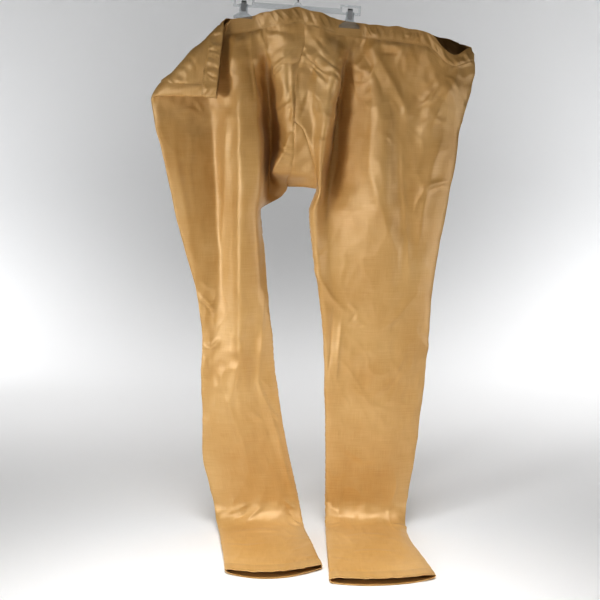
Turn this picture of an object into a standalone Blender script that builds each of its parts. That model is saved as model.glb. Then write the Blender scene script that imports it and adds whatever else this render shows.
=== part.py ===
# Drawstring trousers with a wide waist and long narrow legs, hung from a two-clip hanger.
# The ends of both legs lie forward on the ground below. Metres, +Z up, the front faces -Y.
# The origin is the inside top of the hanger's hook. Left and right are as seen from the front.
import math

import bmesh
import bpy
from mathutils import Matrix, Vector

for item in list(bpy.data.objects):
    bpy.data.objects.remove(item, do_unlink=True)

MM = 0.001

# Cloth, in metres
CLOTH = 0.0012            # one panel
DOUBLE_CLOTH = 0.0022     # a turned casing or hem
SEAM_GAP = 0.0003         # between neighbouring pieces
GUSSET_GAP = 0.0011       # the gusset's edges fold sharply, so they stand a little further off

# Levels, in millimetres below the origin, measured along the cloth
WAIST = 93.0
CASING_DEPTH = 27.0
HEM_DEPTH = 26.0
KNOT = 285.0              # the centre front seam ends here and the gusset starts
KNOT_FADE = 20.0          # below the knot the panels' edges turn from level to their own direction
FORK = 410.0              # the legs part here
LEG_CLOSING = 22.0        # the last of the way down to the fork, where a half turns into a closed leg
FORK_NOTCH = 0.0011       # extra gap at the fork, where four edges meet and turn under
FORK_NOTCH_REACH = 42.0
GROUND_BEND_START = 985.0
GROUND_BEND_RADIUS = 47.0
SLANT_END = 340.0         # the waist's slope has faded out at this level

# The two legs differ in the level of the hem at its outer, middle and inner side.
# The left casing is turned over with the flap, so its seam needs a wider gap.
LEGS = {
    "left": {"hem": 1243.0, "hem_out": -8.0, "hem_mid": 30.0, "hem_in": -26.0,
             "casing_gap": 0.7},
    "right": {"hem": 1280.0, "hem_out": -22.0, "hem_mid": 17.0, "hem_in": -4.0,
              "casing_gap": 0.3},
}

# How far the waist has dropped, at a distance from the centre front: (distance, drop)
WAIST_CENTRE = 4.0
WAIST_DROP = {
    "left": ((0, 0), (34, 3), (63, 8), (84, 14), (130, 20), (262, 34)),
    "right": ((0, 0), (22, 6), (47, 13), (68, 20), (106, 26), (174, 34), (224, 42), (256, 50), (300, 67)),
}

# The right waist opening gapes: its front edge sags
SAG_CENTRE = 266.0
SAG_HALF_WIDTH = 46.0
SAG_DROP = 27.0
SAG_END = 200.0
SAG_DEPTH_FROM = 6.0      # only cloth in front of this depth sags,
SAG_DEPTH_FULL = -8.0     # and all of it in front of this one

# The lines that the cloth runs in, from the front seam round the outside to the back seam.
# A line has a row for each height: (level, across, depth), millimetres, depth + to the back.
LEFT_LINES = {
    "front_seam": (
        (93, 3.5, -10), (113, 10, -10), (148, 12, -8), (182, 4, -6), (208, -2, -6), (250, -4, -7),
        (285, -6, -9), (339, -7, -6), (365, -10, -2), (379, -12, 4), (394, -21, 36), (410, -20, 60),
        (427, -31, 66), (449, -69, 42), (518, -63, 26), (610, -58, 14), (694, -48, 6), (798, -37, 2),
        (894, -19, 0), (985, 0, -1), (1058, 12, 1), (1243, 41, 4)),
    "fold": (
        (93, -25, -14), (148, -22, -13), (182, -21, -9), (242, -19, -4), (295, -18, -2), (339, -25, 0),
        (365, -41, 3), (379, -46, 6), (394, -36, 36), (410, -29, 56), (427, -41, 62), (449, -70, 28),
        (518, -62, 15), (610, -55, 5), (694, -46, 0), (798, -36, -3), (894, -20, -4), (985, -1.5, -5),
        (1058, 10, -3), (1243, 40, 1)),
    "valley": (
        (93, -52, -12), (131, -57, -2), (182, -55, 17), (242, -52, 40), (295, -50, 55), (339, -50, 62),
        (379, -53, 64), (410, -52, 61), (427, -55, 50), (449, -70, 12), (518, -66, 3), (610, -63, -5),
        (694, -56, -7), (798, -49, -7), (894, -36, -8), (985, -17, -8), (1058, -6, -6), (1243, 14, -2)),
    "edge": (
        (93, -78, -2), (116, -78, -2), (135, -84, -8), (182, -79, -12), (242, -74, -14), (295, -72, -15),
        (339, -71, -16), (410, -69, -15), (449, -74, -13), (518, -73, -13), (610, -75, -15),
        (694, -76, -12), (798, -74, -11), (894, -64, -10), (985, -45, -10), (1058, -36, -7),
        (1243, -18, -3)),
    "ridge": (
        (93, -112, -2), (116, -112, -2), (135, -107, -11), (182, -103, -17), (242, -100, -22),
        (339, -97, -25), (410, -95, -25), (518, -99, -22), (610, -99, -20), (694, -103, -17),
        (798, -110, -16), (894, -94, -15), (985, -76, -13), (1058, -68, -8), (1243, -50, -3)),
    "rise": (
        (93, -137, -3), (131, -134, -3), (182, -131, -4), (242, -127, -5), (295, -125, -5), (339, -124, -5),
        (410, -122, -5), (449, -121, -6), (518, -121, -7), (610, -122, -8), (694, -127, -9),
        (798, -135, -12), (894, -120, -13), (985, -103, -12), (1058, -96, -8), (1243, -78, -2)),
    "hollow": (
        (93, -197, -5), (131, -190, -4), (182, -172, 3), (242, -159, 13), (295, -155, 18), (339, -153, 19),
        (410, -150, 18), (449, -148, 16), (518, -147, 11), (610, -149, 5), (694, -151, -1), (798, -155, -5),
        (894, -148, -9), (985, -133, -9), (1058, -124, -6), (1243, -104, -1)),
    "outer": (
        (93, -266, 1), (182, -260, 1), (242, -257, 1), (295, -252, -2), (339, -242, -3), (410, -228, 1),
        (449, -222, 4), (518, -204, 7), (610, -183, 6), (694, -176, 3), (798, -178, 1), (894, -178, 0),
        (985, -159, 0), (1058, -146, 1), (1243, -123, 4)),
    "side_seam": (
        (93, -244, 6), (182, -240, 7), (242, -237, 10), (295, -230, 14), (339, -220, 18), (410, -205, 20),
        (449, -198, 20), (518, -182, 20), (610, -165, 18), (694, -161, 15), (798, -163, 13),
        (894, -165, 11), (985, -147, 9), (1058, -134, 8), (1243, -112, 8)),
    "back_outer": (
        (93, -190, 6), (182, -186, 7), (242, -182, 17), (295, -178, 30), (339, -172, 34), (410, -160, 36),
        (449, -152, 36), (518, -140, 34), (610, -130, 30), (694, -128, 24), (798, -130, 20),
        (894, -130, 16), (985, -112, 12), (1058, -100, 9), (1243, -80, 9)),
    "back_valley": (
        (93, -137, 3), (131, -138, 5), (182, -138, 15), (242, -140, 31), (295, -140, 40), (339, -138, 44),
        (410, -128, 46), (449, -124, 44), (518, -116, 38), (610, -108, 30), (694, -106, 24),
        (798, -106, 20), (894, -100, 16), (985, -82, 12), (1058, -70, 9), (1243, -50, 9)),
    "back_ridge": (
        (93, -112, 2), (116, -112, 2), (135, -102, 14), (182, -98, 38), (242, -94, 58), (295, -92, 70),
        (339, -90, 77), (410, -88, 78), (449, -92, 66), (518, -90, 52), (610, -86, 38), (694, -82, 28),
        (798, -80, 22), (894, -72, 16), (985, -50, 12), (1058, -40, 9), (1243, -18, 9)),
    "back_inner": (
        (93, -78, 2), (116, -78, 2), (135, -66, 16), (182, -58, 40), (242, -54, 62), (295, -52, 76),
        (339, -52, 84), (379, -54, 87), (410, -58, 86), (449, -80, 60), (518, -75, 45), (610, -69, 32),
        (694, -63, 22), (798, -55, 16), (894, -38, 12), (985, -16, 9), (1058, -4, 8), (1243, 18, 8)),
    "back_middle": (
        (93, -25, 14), (131, -24, 24), (182, -22, 40), (242, -20, 56), (295, -18, 66), (339, -20, 73),
        (379, -22, 78), (410, -27, 80), (427, -38, 77), (449, -72, 52), (518, -65.5, 37), (610, -61, 24),
        (694, -51, 14), (798, -40, 8), (894, -23, 6), (985, -4, 5), (1058, 9, 6), (1243, 39, 8)),
    "back_seam": (
        (93, 3.5, 12), (131, 6, 22), (182, 4, 36), (242, 2, 48), (295, 0, 56), (312, -6, 59), (339, -9, 63),
        (365, -11, 67), (379, -13, 68), (394, -17, 66), (410, -20, 60), (427, -31, 66), (449, -69, 42),
        (518, -63, 26), (610, -58, 14), (694, -48, 6), (798, -37, 2), (894, -19, 0), (985, 0, -1),
        (1058, 12, 1), (1243, 41, 4)),
}
RIGHT_LINES = {
    "front_seam": (
        (93, 3.8, -10), (113, 10.3, -10), (148, 12.3, -8), (182, 4.3, -6), (208, -1.7, -6),
        (250, -3.7, -7), (285, -5.7, -9), (300, 8, -10), (339, 22, -10), (365, 28, -9), (379, 31, -8),
        (394, 33, -2), (410, 33, 8), (427, 27, 14), (449, 20, 16), (518, 26, 12), (610, 39.5, 9),
        (694, 47.5, 6), (798, 49.5, 4), (894, 51, 2), (985, 51, 0), (1058, 51, 1), (1280, 53, 4)),
    "facet": (
        (93, 36, -13), (131, 36, -13), (182, 32, -12), (242, 25, -11), (295, 23, -9), (339, 29, -13),
        (379, 34, -14), (410, 35, -9), (427, 28, -4), (449, 20.5, -2), (518, 26, -1), (610, 39.5, -2),
        (694, 48, -3), (798, 50.5, -4), (894, 52, -5), (985, 52.5, -5), (1058, 52.5, -3), (1280, 54.5, 1)),
    "ridge": (
        (93, 68, -2), (127, 68, -2), (146, 65, -12), (182, 62, -18), (242, 52, -22), (295, 47, -24),
        (339, 42, -24), (379, 39.5, -23), (410, 39, -20), (449, 30, -15), (518, 34, -12), (610, 48, -9),
        (694, 56, -8), (798, 59, -8), (894, 61, -9), (985, 62, -9), (1058, 63, -6), (1280, 67, -2)),
    "valley": (
        (93, 111, -2), (125, 111, -2), (142, 97, 1), (182, 80, 14), (242, 73, 28), (295, 68, 34),
        (339, 63, 36), (379, 59, 34), (410, 57, 28), (449, 54, 12), (518, 57, 0), (610, 70, -6),
        (694, 76, -8), (798, 80, -9), (894, 82, -10), (985, 84, -10), (1058, 86, -7), (1280, 93, -3)),
    "soft_ridge": (
        (93, 144, -13), (131, 134, -15), (182, 138, -17), (242, 146, -20), (295, 150, -23), (339, 151, -25),
        (379, 152, -26), (410, 153, -26), (449, 156, -24), (518, 160, -21), (610, 156, -17),
        (694, 146, -15), (798, 140, -14), (894, 137, -14), (985, 134, -12), (1058, 136, -8),
        (1280, 148, -3)),
    "face": (
        (93, 192, -20), (131, 186, -20), (182, 182, -15), (242, 181, -12), (295, 181, -11), (410, 184, -12),
        (518, 190, -14), (610, 186, -14), (694, 180, -13), (798, 172, -12), (894, 168, -12),
        (985, 162, -11), (1058, 164, -7), (1280, 186, -2)),
    "outside": (
        (93, 250, -26), (182, 250, -24), (242, 244, -19), (295, 238, -15), (410, 222, -13), (518, 218, -11),
        (610, 212, -10), (694, 206, -9), (798, 199, -9), (894, 192, -8), (985, 184, -8), (1058, 184, -6),
        (1280, 212, -1)),
    "outer": (
        (93, 304, 2), (131, 311, 3), (182, 306, 4), (242, 297, 4), (295, 288, 5), (339, 284, 6),
        (410, 273, 8), (449, 267, 8), (518, 254, 7), (610, 242, 5), (694, 238, 3), (798, 229, 2),
        (894, 219, 1), (985, 206, 0), (1058, 200, 1), (1280, 231, 4)),
    "side_seam": (
        (93, 284, 20), (131, 291, 22), (182, 287, 22), (242, 278, 22), (295, 270, 22), (339, 264, 22),
        (410, 253, 22), (449, 248, 22), (518, 236, 20), (610, 225, 17), (694, 221, 14), (798, 213, 12),
        (894, 204, 10), (985, 192, 9), (1058, 189, 8), (1280, 219, 8)),
    "back_outer": (
        (93, 225, 32), (131, 228, 36), (182, 228, 39), (242, 224, 39), (295, 216, 39), (339, 210, 40),
        (410, 202, 40), (449, 200, 38), (518, 196, 34), (610, 190, 28), (694, 186, 22), (798, 180, 19),
        (894, 172, 15), (985, 162, 11), (1058, 160, 9), (1280, 188, 9)),
    "back_valley": (
        (93, 165, 20), (131, 168, 29), (182, 172, 30), (242, 170, 28), (295, 166, 28), (339, 160, 30),
        (410, 152, 34), (449, 150, 34), (518, 150, 30), (610, 148, 24), (694, 146, 19), (798, 142, 16),
        (894, 136, 13), (985, 130, 10), (1058, 130, 9), (1280, 150, 9)),
    "back_ridge": (
        (93, 111, 2), (125, 111, 2), (142, 114, 18), (182, 118, 36), (242, 116, 46), (295, 112, 52),
        (339, 108, 56), (410, 104, 58), (449, 104, 54), (518, 108, 44), (610, 110, 34), (694, 108, 26),
        (798, 106, 21), (894, 102, 16), (985, 98, 12), (1058, 98, 9), (1280, 112, 9)),
    "back_inner": (
        (93, 68, 2), (127, 68, 2), (146, 65, 16), (182, 58, 38), (242, 52, 54), (295, 48, 64),
        (339, 50, 70), (379, 56, 68), (410, 60, 62), (449, 60, 50), (518, 66, 40), (610, 76, 30),
        (694, 80, 22), (798, 80, 17), (894, 78, 13), (985, 76, 10), (1058, 76, 9), (1280, 84, 9)),
    "back_middle": (
        (93, 38, 14), (131, 36, 24), (182, 32, 40), (242, 28, 53), (295, 26, 63), (339, 30, 70),
        (365, 37, 68), (379, 41, 62), (394, 43, 52), (410, 43, 42), (427, 38, 38), (449, 32, 36),
        (518, 38, 28), (610, 50, 20), (694, 56, 14), (798, 57, 11), (894, 57, 9), (985, 56, 7),
        (1058, 56, 6), (1280, 57, 8)),
    "back_seam": (
        (93, 3.8, 12), (131, 6.3, 22), (182, 4.3, 36), (242, 2.3, 48), (295, 0.3, 56), (312, 8, 60),
        (339, 13, 65), (365, 20, 62), (379, 25, 54), (394, 30, 34), (410, 33, 8), (427, 27, 14),
        (449, 20, 16), (518, 26, 12), (610, 39.5, 9), (694, 47.5, 6), (798, 49.5, 4), (894, 51, 2),
        (985, 51, 0), (1058, 51, 1), (1280, 53, 4)),
}
LINES = {"left": LEFT_LINES, "right": RIGHT_LINES}

# How many wall faces lie between one line and the next, going round each leg
FACES_ROUND = {
    "left": (2, 2, 3, 2, 2, 4, 4, 3, 4, 4, 2, 2, 2, 2),
    "right": (2, 2, 2, 2, 2, 2, 2, 2, 3, 2, 2, 2, 2, 2),
}
SIDE_SEAM_LINE = 8        # the front panel ends and the back panel starts at this line
ROUND_EDGE = 0.55         # how fully the cloth rounds its outer edge

# The left top corner is folded forward over the front, about a slanting line (x, z)
FLAP_TOP = (-110.0, -109.0)
FLAP_FOOT = (-243.0, -249.0)
FLAP_TOP_RADIUS = 6.0     # the fold widens towards its foot; its axis lies this far in front too
FLAP_FOOT_RADIUS = 10.0
FLAP_TURN = math.radians(169.0)

# Rows of the cloth's walls: (level, how far apart the rows are until there)
ROW_SPACING = {
    "left": ((250.0, 14.4), (385.0, 15.0), (452.5, 7.5), (500.0, 24.0), (960.0, 66.0), (1075.0, 14.4),
             (1220.0, 71.0)),
    "right": ((250.0, 14.4), (385.0, 15.0), (430.0, 7.5), (460.0, 15.0), (960.0, 72.0), (1075.0, 14.4),
              (1256.0, 90.0)),
}
CASING_ROWS = 2
HEM_ROWS = 2
GUSSET_FACES = 4
GUSSET_FRONT_START = 291.0
GUSSET_BACK_START = 309.0
GUSSET_END = FORK - 1.0   # its two halves meet just above the fork
GUSSET_LEAST_ROW = 3.0

# Hanger, in metres. Its bar hangs a little lower on the right.
HANGER_TILT = math.radians(4.3)
BAR_CENTRE = Vector((-0.0015, 0.0, -0.0935))
CLIP_SPACING = 0.1858
BAR_HALF_DEPTH = 0.0032
BAR_HEIGHT = 0.0095
FRAME_WIDTH = 0.036
FRAME_HEIGHT = 0.0165
FRAME_RIM = 0.0036
BAR_OVERLAP = 0.001       # the bar runs into the frames
BAR_STEP = 0.0004         # the bar's lower edge and faces stand in from the frames'
BAR_FACE_STEP = 0.0006
BOSS_RADIUS = 0.0072      # the round boss that takes the hook
BOSS_PLACE = (0.001, 0.0, 0.003)
JAW_INSIDE = 0.0035       # from the middle of the bar to a jaw's inner face
JAW_THICKNESS = 0.0026
JAW_TOP = 0.0005          # above the bar's centre line
JAW_NECK = 0.014
JAW_SHOULDER = -0.0145
JAW_FLARE = {"left": 0.0325, "right": 0.0365}
JAW_LIP = {"left": -0.0245, "right": -0.0275}
SPRING_WIDTH = 0.0085
SPRING_THICKNESS = 0.0009
SPRING_LOW = -0.0120
SPRING_HIGH = 0.0030
SPRING_CROWN = 0.45       # how far its arch rises, as a share of its half depth
CROWN_STEPS = 5
HOOK_WIRE = 0.0019        # the wire's radius
HOOK_INNER = 0.0200       # the hook's inside radius
HOOK_OPENING = math.radians(205.0)
HOOK_BEND_END = math.radians(-52.0)
HOOK_STEPS = 16
STEM_TOP = -0.0560
STEM_FOOT = 0.0104        # the wire ends this far above the bar's centre, on its boss

# Colours (red, green, blue), roughness and metallic value
FINISHES = {
    "satin": ((0.62, 0.41, 0.19), 0.42, 0.0),
    "satin_turned": ((0.58, 0.38, 0.17), 0.45, 0.0),
    "clear_plastic": ((0.80, 0.84, 0.85), 0.18, 0.0),
    "spring_steel": ((0.46, 0.48, 0.50), 0.32, 1.0),
}


def finish(name):
    """A finish from the table, made once."""
    material = bpy.data.materials.get(name)
    if material:
        return material
    colour, roughness, metallic = FINISHES[name]
    material = bpy.data.materials.new(name)
    material.use_nodes = True
    shader = material.node_tree.nodes["Principled BSDF"]
    shader.inputs["Base Color"].default_value = (*colour, 1.0)
    shader.inputs["Roughness"].default_value = roughness
    shader.inputs["Metallic"].default_value = metallic
    return material


def smooth_step(value):
    """0 below 0, 1 above 1, and a soft ramp between."""
    value = min(max(value, 0.0), 1.0)
    return value * value * (3.0 - 2.0 * value)


def slope_between(before, after):
    """A slope that never overshoots: none at a turn, else the harmonic mean."""
    if before * after <= 0.0:
        return 0.0
    return 2.0 * before * after / (before + after)


def along(rows, level, column):
    """Read one column of a line's rows at a level, smoothly."""
    if level <= rows[0][0]:
        return rows[0][column]
    if level >= rows[-1][0]:
        return rows[-1][column]
    index = 0
    while rows[index + 1][0] < level:
        index += 1
    steps = [b[0] - a[0] for a, b in zip(rows, rows[1:])]
    rises = [(b[column] - a[column]) / step for a, b, step in zip(rows, rows[1:], steps)]
    start = rises[0] if index == 0 else slope_between(rises[index - 1], rises[index])
    last = index == len(rises) - 1
    end = rises[-1] if last else slope_between(rises[index], rises[index + 1])
    step = steps[index]
    part = (level - rows[index][0]) / step
    return hermite(rows[index][column], rows[index + 1][column], start * step, end * step, part)


def hermite(value_a, value_b, slope_a, slope_b, part):
    """Cubic between two values with given slopes."""
    square = part * part
    cube = square * part
    return (value_a * (2 * cube - 3 * square + 1) + slope_a * (cube - 2 * square + part)
            + value_b * (3 * square - 2 * cube) + slope_b * (cube - square))


def closure(level):
    """0 where the two halves share one waist, 1 where each leg is a tube of its own."""
    return smooth_step((level - (FORK - LEG_CLOSING)) / LEG_CLOSING)


def section(leg, level):
    """The lines' points at one level and the curve's slope at each, going round the leg."""
    points = [Vector((along(rows, level, 1), along(rows, level, 2))) for rows in LINES[leg].values()]
    steps = [max((b - a).length, 0.01) ** 0.5 for a, b in zip(points, points[1:])]
    slopes = [Vector((0.0, 0.0)) for _ in points]
    for index in range(1, len(points) - 1):
        slopes[index] = corner_slope((points[index] - points[index - 1]) / steps[index - 1],
                                     (points[index + 1] - points[index]) / steps[index])
    widest = list(LINES[leg]).index("outer")
    reach = (points[widest + 1] - points[widest]).length / steps[widest]
    slopes[widest] = Vector((0.0, ROUND_EDGE * reach))
    first = (points[1] - points[0]) / steps[0]
    last = (points[-1] - points[-2]) / steps[-1]
    joined = corner_slope(last, first)
    level_off = smooth_step((level - KNOT) / KNOT_FADE)
    share = closure(level)
    flat_first = Vector((math.copysign(first.length, first.x), 0.0)).lerp(first, level_off)
    flat_last = Vector((math.copysign(last.length, last.x), 0.0)).lerp(last, level_off)
    slopes[0] = flat_first.lerp(joined, share)
    slopes[-1] = flat_last.lerp(joined, share)
    return points, slopes, steps


def corner_slope(before, after):
    """Slope where two steps of a curve meet, each axis by itself."""
    return Vector((slope_between(before.x, after.x), slope_between(before.y, after.y)))


def round_the_leg(leg, place, level):
    """Point of a leg's section: place counts lines from the front seam. Millimetres."""
    points, slopes, steps = section(leg, level)
    index = min(int(place), len(points) - 2)
    part = place - index
    step = steps[index]
    return Vector([hermite(points[index][axis], points[index + 1][axis], slopes[index][axis] * step,
                           slopes[index + 1][axis] * step, part) for axis in (0, 1)])


def true_level(leg, across, depth, level):
    """Add the waist's slope, the sagging front edge and the hem's slant to a level."""
    shape = LEGS[leg]
    fade = 1.0 - smooth_step((level - WAIST) / (SLANT_END - WAIST))
    result = level + along(WAIST_DROP[leg], abs(across - WAIST_CENTRE), 1) * fade
    if leg == "right" and level < SAG_END:
        reach = abs(across - SAG_CENTRE) / SAG_HALF_WIDTH
        front = smooth_step((SAG_DEPTH_FROM - depth) / (SAG_DEPTH_FROM - SAG_DEPTH_FULL))
        share = 1.0 - smooth_step((level - WAIST) / (SAG_END - WAIST))
        result += SAG_DROP * (1.0 - smooth_step(reach)) * front * share
    if level > GROUND_BEND_START:
        outer = along(LINES[leg]["outer"], level, 1)
        inner = along(LINES[leg]["front_seam"], level, 1)
        part = (across - outer) / (inner - outer)
        slant = (shape["hem_out"] * (1.0 - part) + shape["hem_in"] * part
                 + shape["hem_mid"] * 4.0 * part * (1.0 - part))
        result += slant * smooth_step((level - GROUND_BEND_START) / (shape["hem"] - GROUND_BEND_START))
    return result


def carry(across, depth, level):
    """Hang the cloth down from the waist, bend it forward at the ground and lay it along the ground."""
    bend_length = GROUND_BEND_RADIUS * math.pi / 2
    if level <= GROUND_BEND_START:
        return Vector((across, depth, -level)) * MM
    beyond = level - GROUND_BEND_START
    if beyond <= bend_length:
        turn = beyond / GROUND_BEND_RADIUS
        radius = GROUND_BEND_RADIUS + depth
        y = -GROUND_BEND_RADIUS + radius * math.cos(turn)
        z = -GROUND_BEND_START - radius * math.sin(turn)
        return Vector((across, y, z)) * MM
    y = -GROUND_BEND_RADIUS - (beyond - bend_length)
    z = -GROUND_BEND_START - GROUND_BEND_RADIUS - depth
    return Vector((across, y, z)) * MM


def turn_corner(point):
    """Turn the left top corner forward about its slanting line."""
    top = Vector(FLAP_TOP) * MM
    run = Vector(FLAP_FOOT) * MM - top
    fold_length = run.length
    run.normalize()
    outward = Vector((run.y, -run.x))
    if outward.x > 0.0:
        outward = -outward
    place = Vector((point.x, point.z)) - top
    past = place.dot(outward)
    if past <= 0.0:
        return point
    down_fold = smooth_step(place.dot(run) / fold_length)
    radius = (FLAP_TOP_RADIUS + (FLAP_FOOT_RADIUS - FLAP_TOP_RADIUS) * down_fold) * MM
    axis = -radius
    turn = min(past / radius, FLAP_TURN)
    rest = past - turn * radius
    off_axis = point.y - axis
    moved = off_axis * math.sin(turn) + rest * math.cos(turn)
    depth = axis + off_axis * math.cos(turn) - rest * math.sin(turn)
    flat = place - outward * past + outward * moved + top
    return Vector((flat.x, depth, flat.y))


def cloth_point(leg, place, level):
    """A point on the middle of the cloth's wall, in metres."""
    flat = round_the_leg(leg, place, level)
    point = carry(flat.x, flat.y, true_level(leg, flat.x, flat.y, level))
    if leg == "left" and level < SLANT_END:
        point = turn_corner(point)
    return point


def cloth_normal(leg, place, level, first, last):
    """Direction through the wall, from its front or outer face."""
    small = 0.02
    low = max(place - small, first)
    high = min(place + small, last)
    round_way = cloth_point(leg, high, level) - cloth_point(leg, low, level)
    down_way = cloth_point(leg, place, level + 0.4) - cloth_point(leg, place, level - 0.4)
    return round_way.cross(down_way).normalized()


def places_round(leg, first, last):
    """Places between two lines, as many as the table of faces asks for."""
    places = []
    for index in range(first, last):
        count = FACES_ROUND[leg][index]
        places += [index + step / count for step in range(count)]
    return places + [float(last)]


def rows_down(leg, start, end):
    """Levels of a panel's rows from start to end, closer where the cloth turns."""
    levels = [start]
    for limit, spacing in ROW_SPACING[leg]:
        limit = min(limit, end)
        length = limit - levels[-1]
        if length <= 0.4 * spacing:
            continue
        count = max(1, round(length / spacing))
        first = levels[-1]
        levels += [first + length * (step + 1) / count for step in range(count)]
    levels[-1] = end
    return levels


def add_object(name, mesh_maker, material):
    """Link a new object that holds a finished mesh."""
    mesh = bpy.data.meshes.new(name)
    mesh_maker.normal_update()
    mesh_maker.to_mesh(mesh)
    mesh_maker.free()
    mesh.materials.append(finish(material))
    mesh.shade_smooth()
    mesh.set_sharp_from_angle(angle=math.radians(50.0))
    piece = bpy.data.objects.new(name, mesh)
    bpy.context.collection.objects.link(piece)
    return piece


def split_faces(maker, corners, lean):
    """Two triangles from four corners. lean picks the diagonal: 0 keeps one four-sided face."""
    a, b, c, d = corners
    if lean == 0:
        maker.faces.new((a, b, c, d))
    elif lean > 0:
        maker.faces.new((a, b, c))
        maker.faces.new((a, c, d))
    else:
        maker.faces.new((a, b, d))
        maker.faces.new((b, c, d))


def wall(name, middles, normals, thickness, material, joined=False, lean=0):
    """Closed wall about a grid of middle points. joined links the last column to the first."""
    maker = bmesh.new()
    half = thickness / 2
    sheets = []
    for side in (1.0, -1.0):
        sheets.append([[maker.verts.new(point + normal * half * side)
                        for point, normal in zip(row, row_normals)]
                       for row, row_normals in zip(middles, normals)])
    rows = len(middles)
    columns = len(middles[0])
    spans = columns if joined else columns - 1
    front, back = sheets
    for row in range(rows - 1):
        for column in range(spans):
            after = (column + 1) % columns
            for sheet in sheets:
                split_faces(maker, (sheet[row][column], sheet[row][after],
                                    sheet[row + 1][after], sheet[row + 1][column]), lean)
    for column in range(spans):
        after = (column + 1) % columns
        maker.faces.new((front[0][after], front[0][column], back[0][column], back[0][after]))
        maker.faces.new((front[-1][column], front[-1][after], back[-1][after], back[-1][column]))
    if not joined:
        for row in range(rows - 1):
            maker.faces.new((front[row][0], front[row + 1][0], back[row + 1][0], back[row][0]))
            maker.faces.new((front[row + 1][-1], front[row][-1], back[row][-1], back[row + 1][-1]))
    bmesh.ops.recalc_face_normals(maker, faces=maker.faces)
    if maker.calc_volume(signed=True) < 0.0:
        bmesh.ops.reverse_faces(maker, faces=maker.faces)
    return add_object(name, maker, material)


def cloth_piece(name, leg, first, last, levels, thickness, material):
    """A panel or band of one leg between two of its lines, and between two levels."""
    places = places_round(leg, first, last)
    middles = []
    normals = []
    for level in levels:
        row = [cloth_point(leg, place, level) for place in places]
        notch = FORK_NOTCH * (1.0 - smooth_step(abs(level - FORK) / FORK_NOTCH_REACH))
        start_gap = SEAM_GAP / 2 + (notch if first == 0 else 0.0)
        end_gap = SEAM_GAP / 2 + (notch if first > 0 else 0.0)
        row[0] = row[0] + (row[1] - row[0]).normalized() * start_gap
        row[-1] = row[-1] + (row[-2] - row[-1]).normalized() * end_gap
        middles.append(row)
        normals.append([cloth_normal(leg, place, level, first, last) for place in places])
    lean = 0
    if leg == "left":
        lean = 1 if first == 0 else -1
    return wall(name, middles, normals, thickness, material, lean=lean)


def make_panels():
    """Front and back of each leg, from the casing to the hem."""
    for leg in ("left", "right"):
        gap = LEGS[leg]["casing_gap"] / 2
        last = len(LINES[leg]) - 1
        levels = rows_down(leg, WAIST + CASING_DEPTH + gap, LEGS[leg]["hem"] - HEM_DEPTH - gap)
        cloth_piece("front_" + leg, leg, 0, SIDE_SEAM_LINE, levels, CLOTH, "satin")
        cloth_piece("back_" + leg, leg, SIDE_SEAM_LINE, last, levels, CLOTH, "satin")


def make_casings():
    """The waist's turned casing, one length for each panel."""
    for leg in ("left", "right"):
        depth = CASING_DEPTH - LEGS[leg]["casing_gap"] / 2
        levels = [WAIST + depth * row / CASING_ROWS for row in range(CASING_ROWS + 1)]
        last = len(LINES[leg]) - 1
        cloth_piece("casing_front_" + leg, leg, 0, SIDE_SEAM_LINE, levels, DOUBLE_CLOTH, "satin_turned")
        cloth_piece("casing_back_" + leg, leg, SIDE_SEAM_LINE, last, levels, DOUBLE_CLOTH, "satin_turned")


def make_hems():
    """The turned hem round each leg's mouth, one closed band."""
    gap = SEAM_GAP / 2 / MM
    for leg in ("left", "right"):
        last = len(LINES[leg]) - 1
        places = places_round(leg, 0, last)[:-1]
        top = LEGS[leg]["hem"] - HEM_DEPTH + gap
        levels = [top + (HEM_DEPTH - gap) * row / HEM_ROWS for row in range(HEM_ROWS + 1)]
        middles = [[cloth_point(leg, place, level) for place in places] for level in levels]
        normals = [[cloth_normal(leg, place, level, 0, last) for place in places] for level in levels]
        wall("hem_" + leg, middles, normals, DOUBLE_CLOTH, "satin_turned", joined=True)


def gusset_stations():
    """Rows of the gusset: down the front seams to the fork, then up the back seams."""
    levels = [level for level in rows_down("left", WAIST + CASING_DEPTH, FORK + 20.0) if level < GUSSET_END]
    down = [GUSSET_FRONT_START] + [level for level in levels if level > GUSSET_FRONT_START + GUSSET_LEAST_ROW]
    up = [GUSSET_BACK_START] + [level for level in levels if level > GUSSET_BACK_START + GUSSET_LEAST_ROW]
    return [("front", level) for level in down] + [("back", level) for level in reversed(up)]


def make_gusset():
    """The diamond let in between the four panels at the fork."""
    middles = []
    for side, level in gusset_stations():
        ends = [0.0 if side == "front" else float(len(LINES[leg]) - 1) for leg in ("left", "right")]
        left = cloth_point("left", ends[0], level)
        right = cloth_point("right", ends[1], level)
        inset = (right - left).normalized() * GUSSET_GAP
        left = left + inset
        right = right - inset
        middles.append([left.lerp(right, column / GUSSET_FACES) for column in range(GUSSET_FACES + 1)])
    normals = []
    last = len(middles) - 1
    for row in range(last + 1):
        before = middles[max(row - 1, 0)]
        after = middles[min(row + 1, last)]
        across = middles[row][-1] - middles[row][0]
        normals.append([across.cross(b - a).normalized() for a, b in zip(before, after)])
    wall("gusset", middles, normals, CLOTH, "satin")


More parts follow.
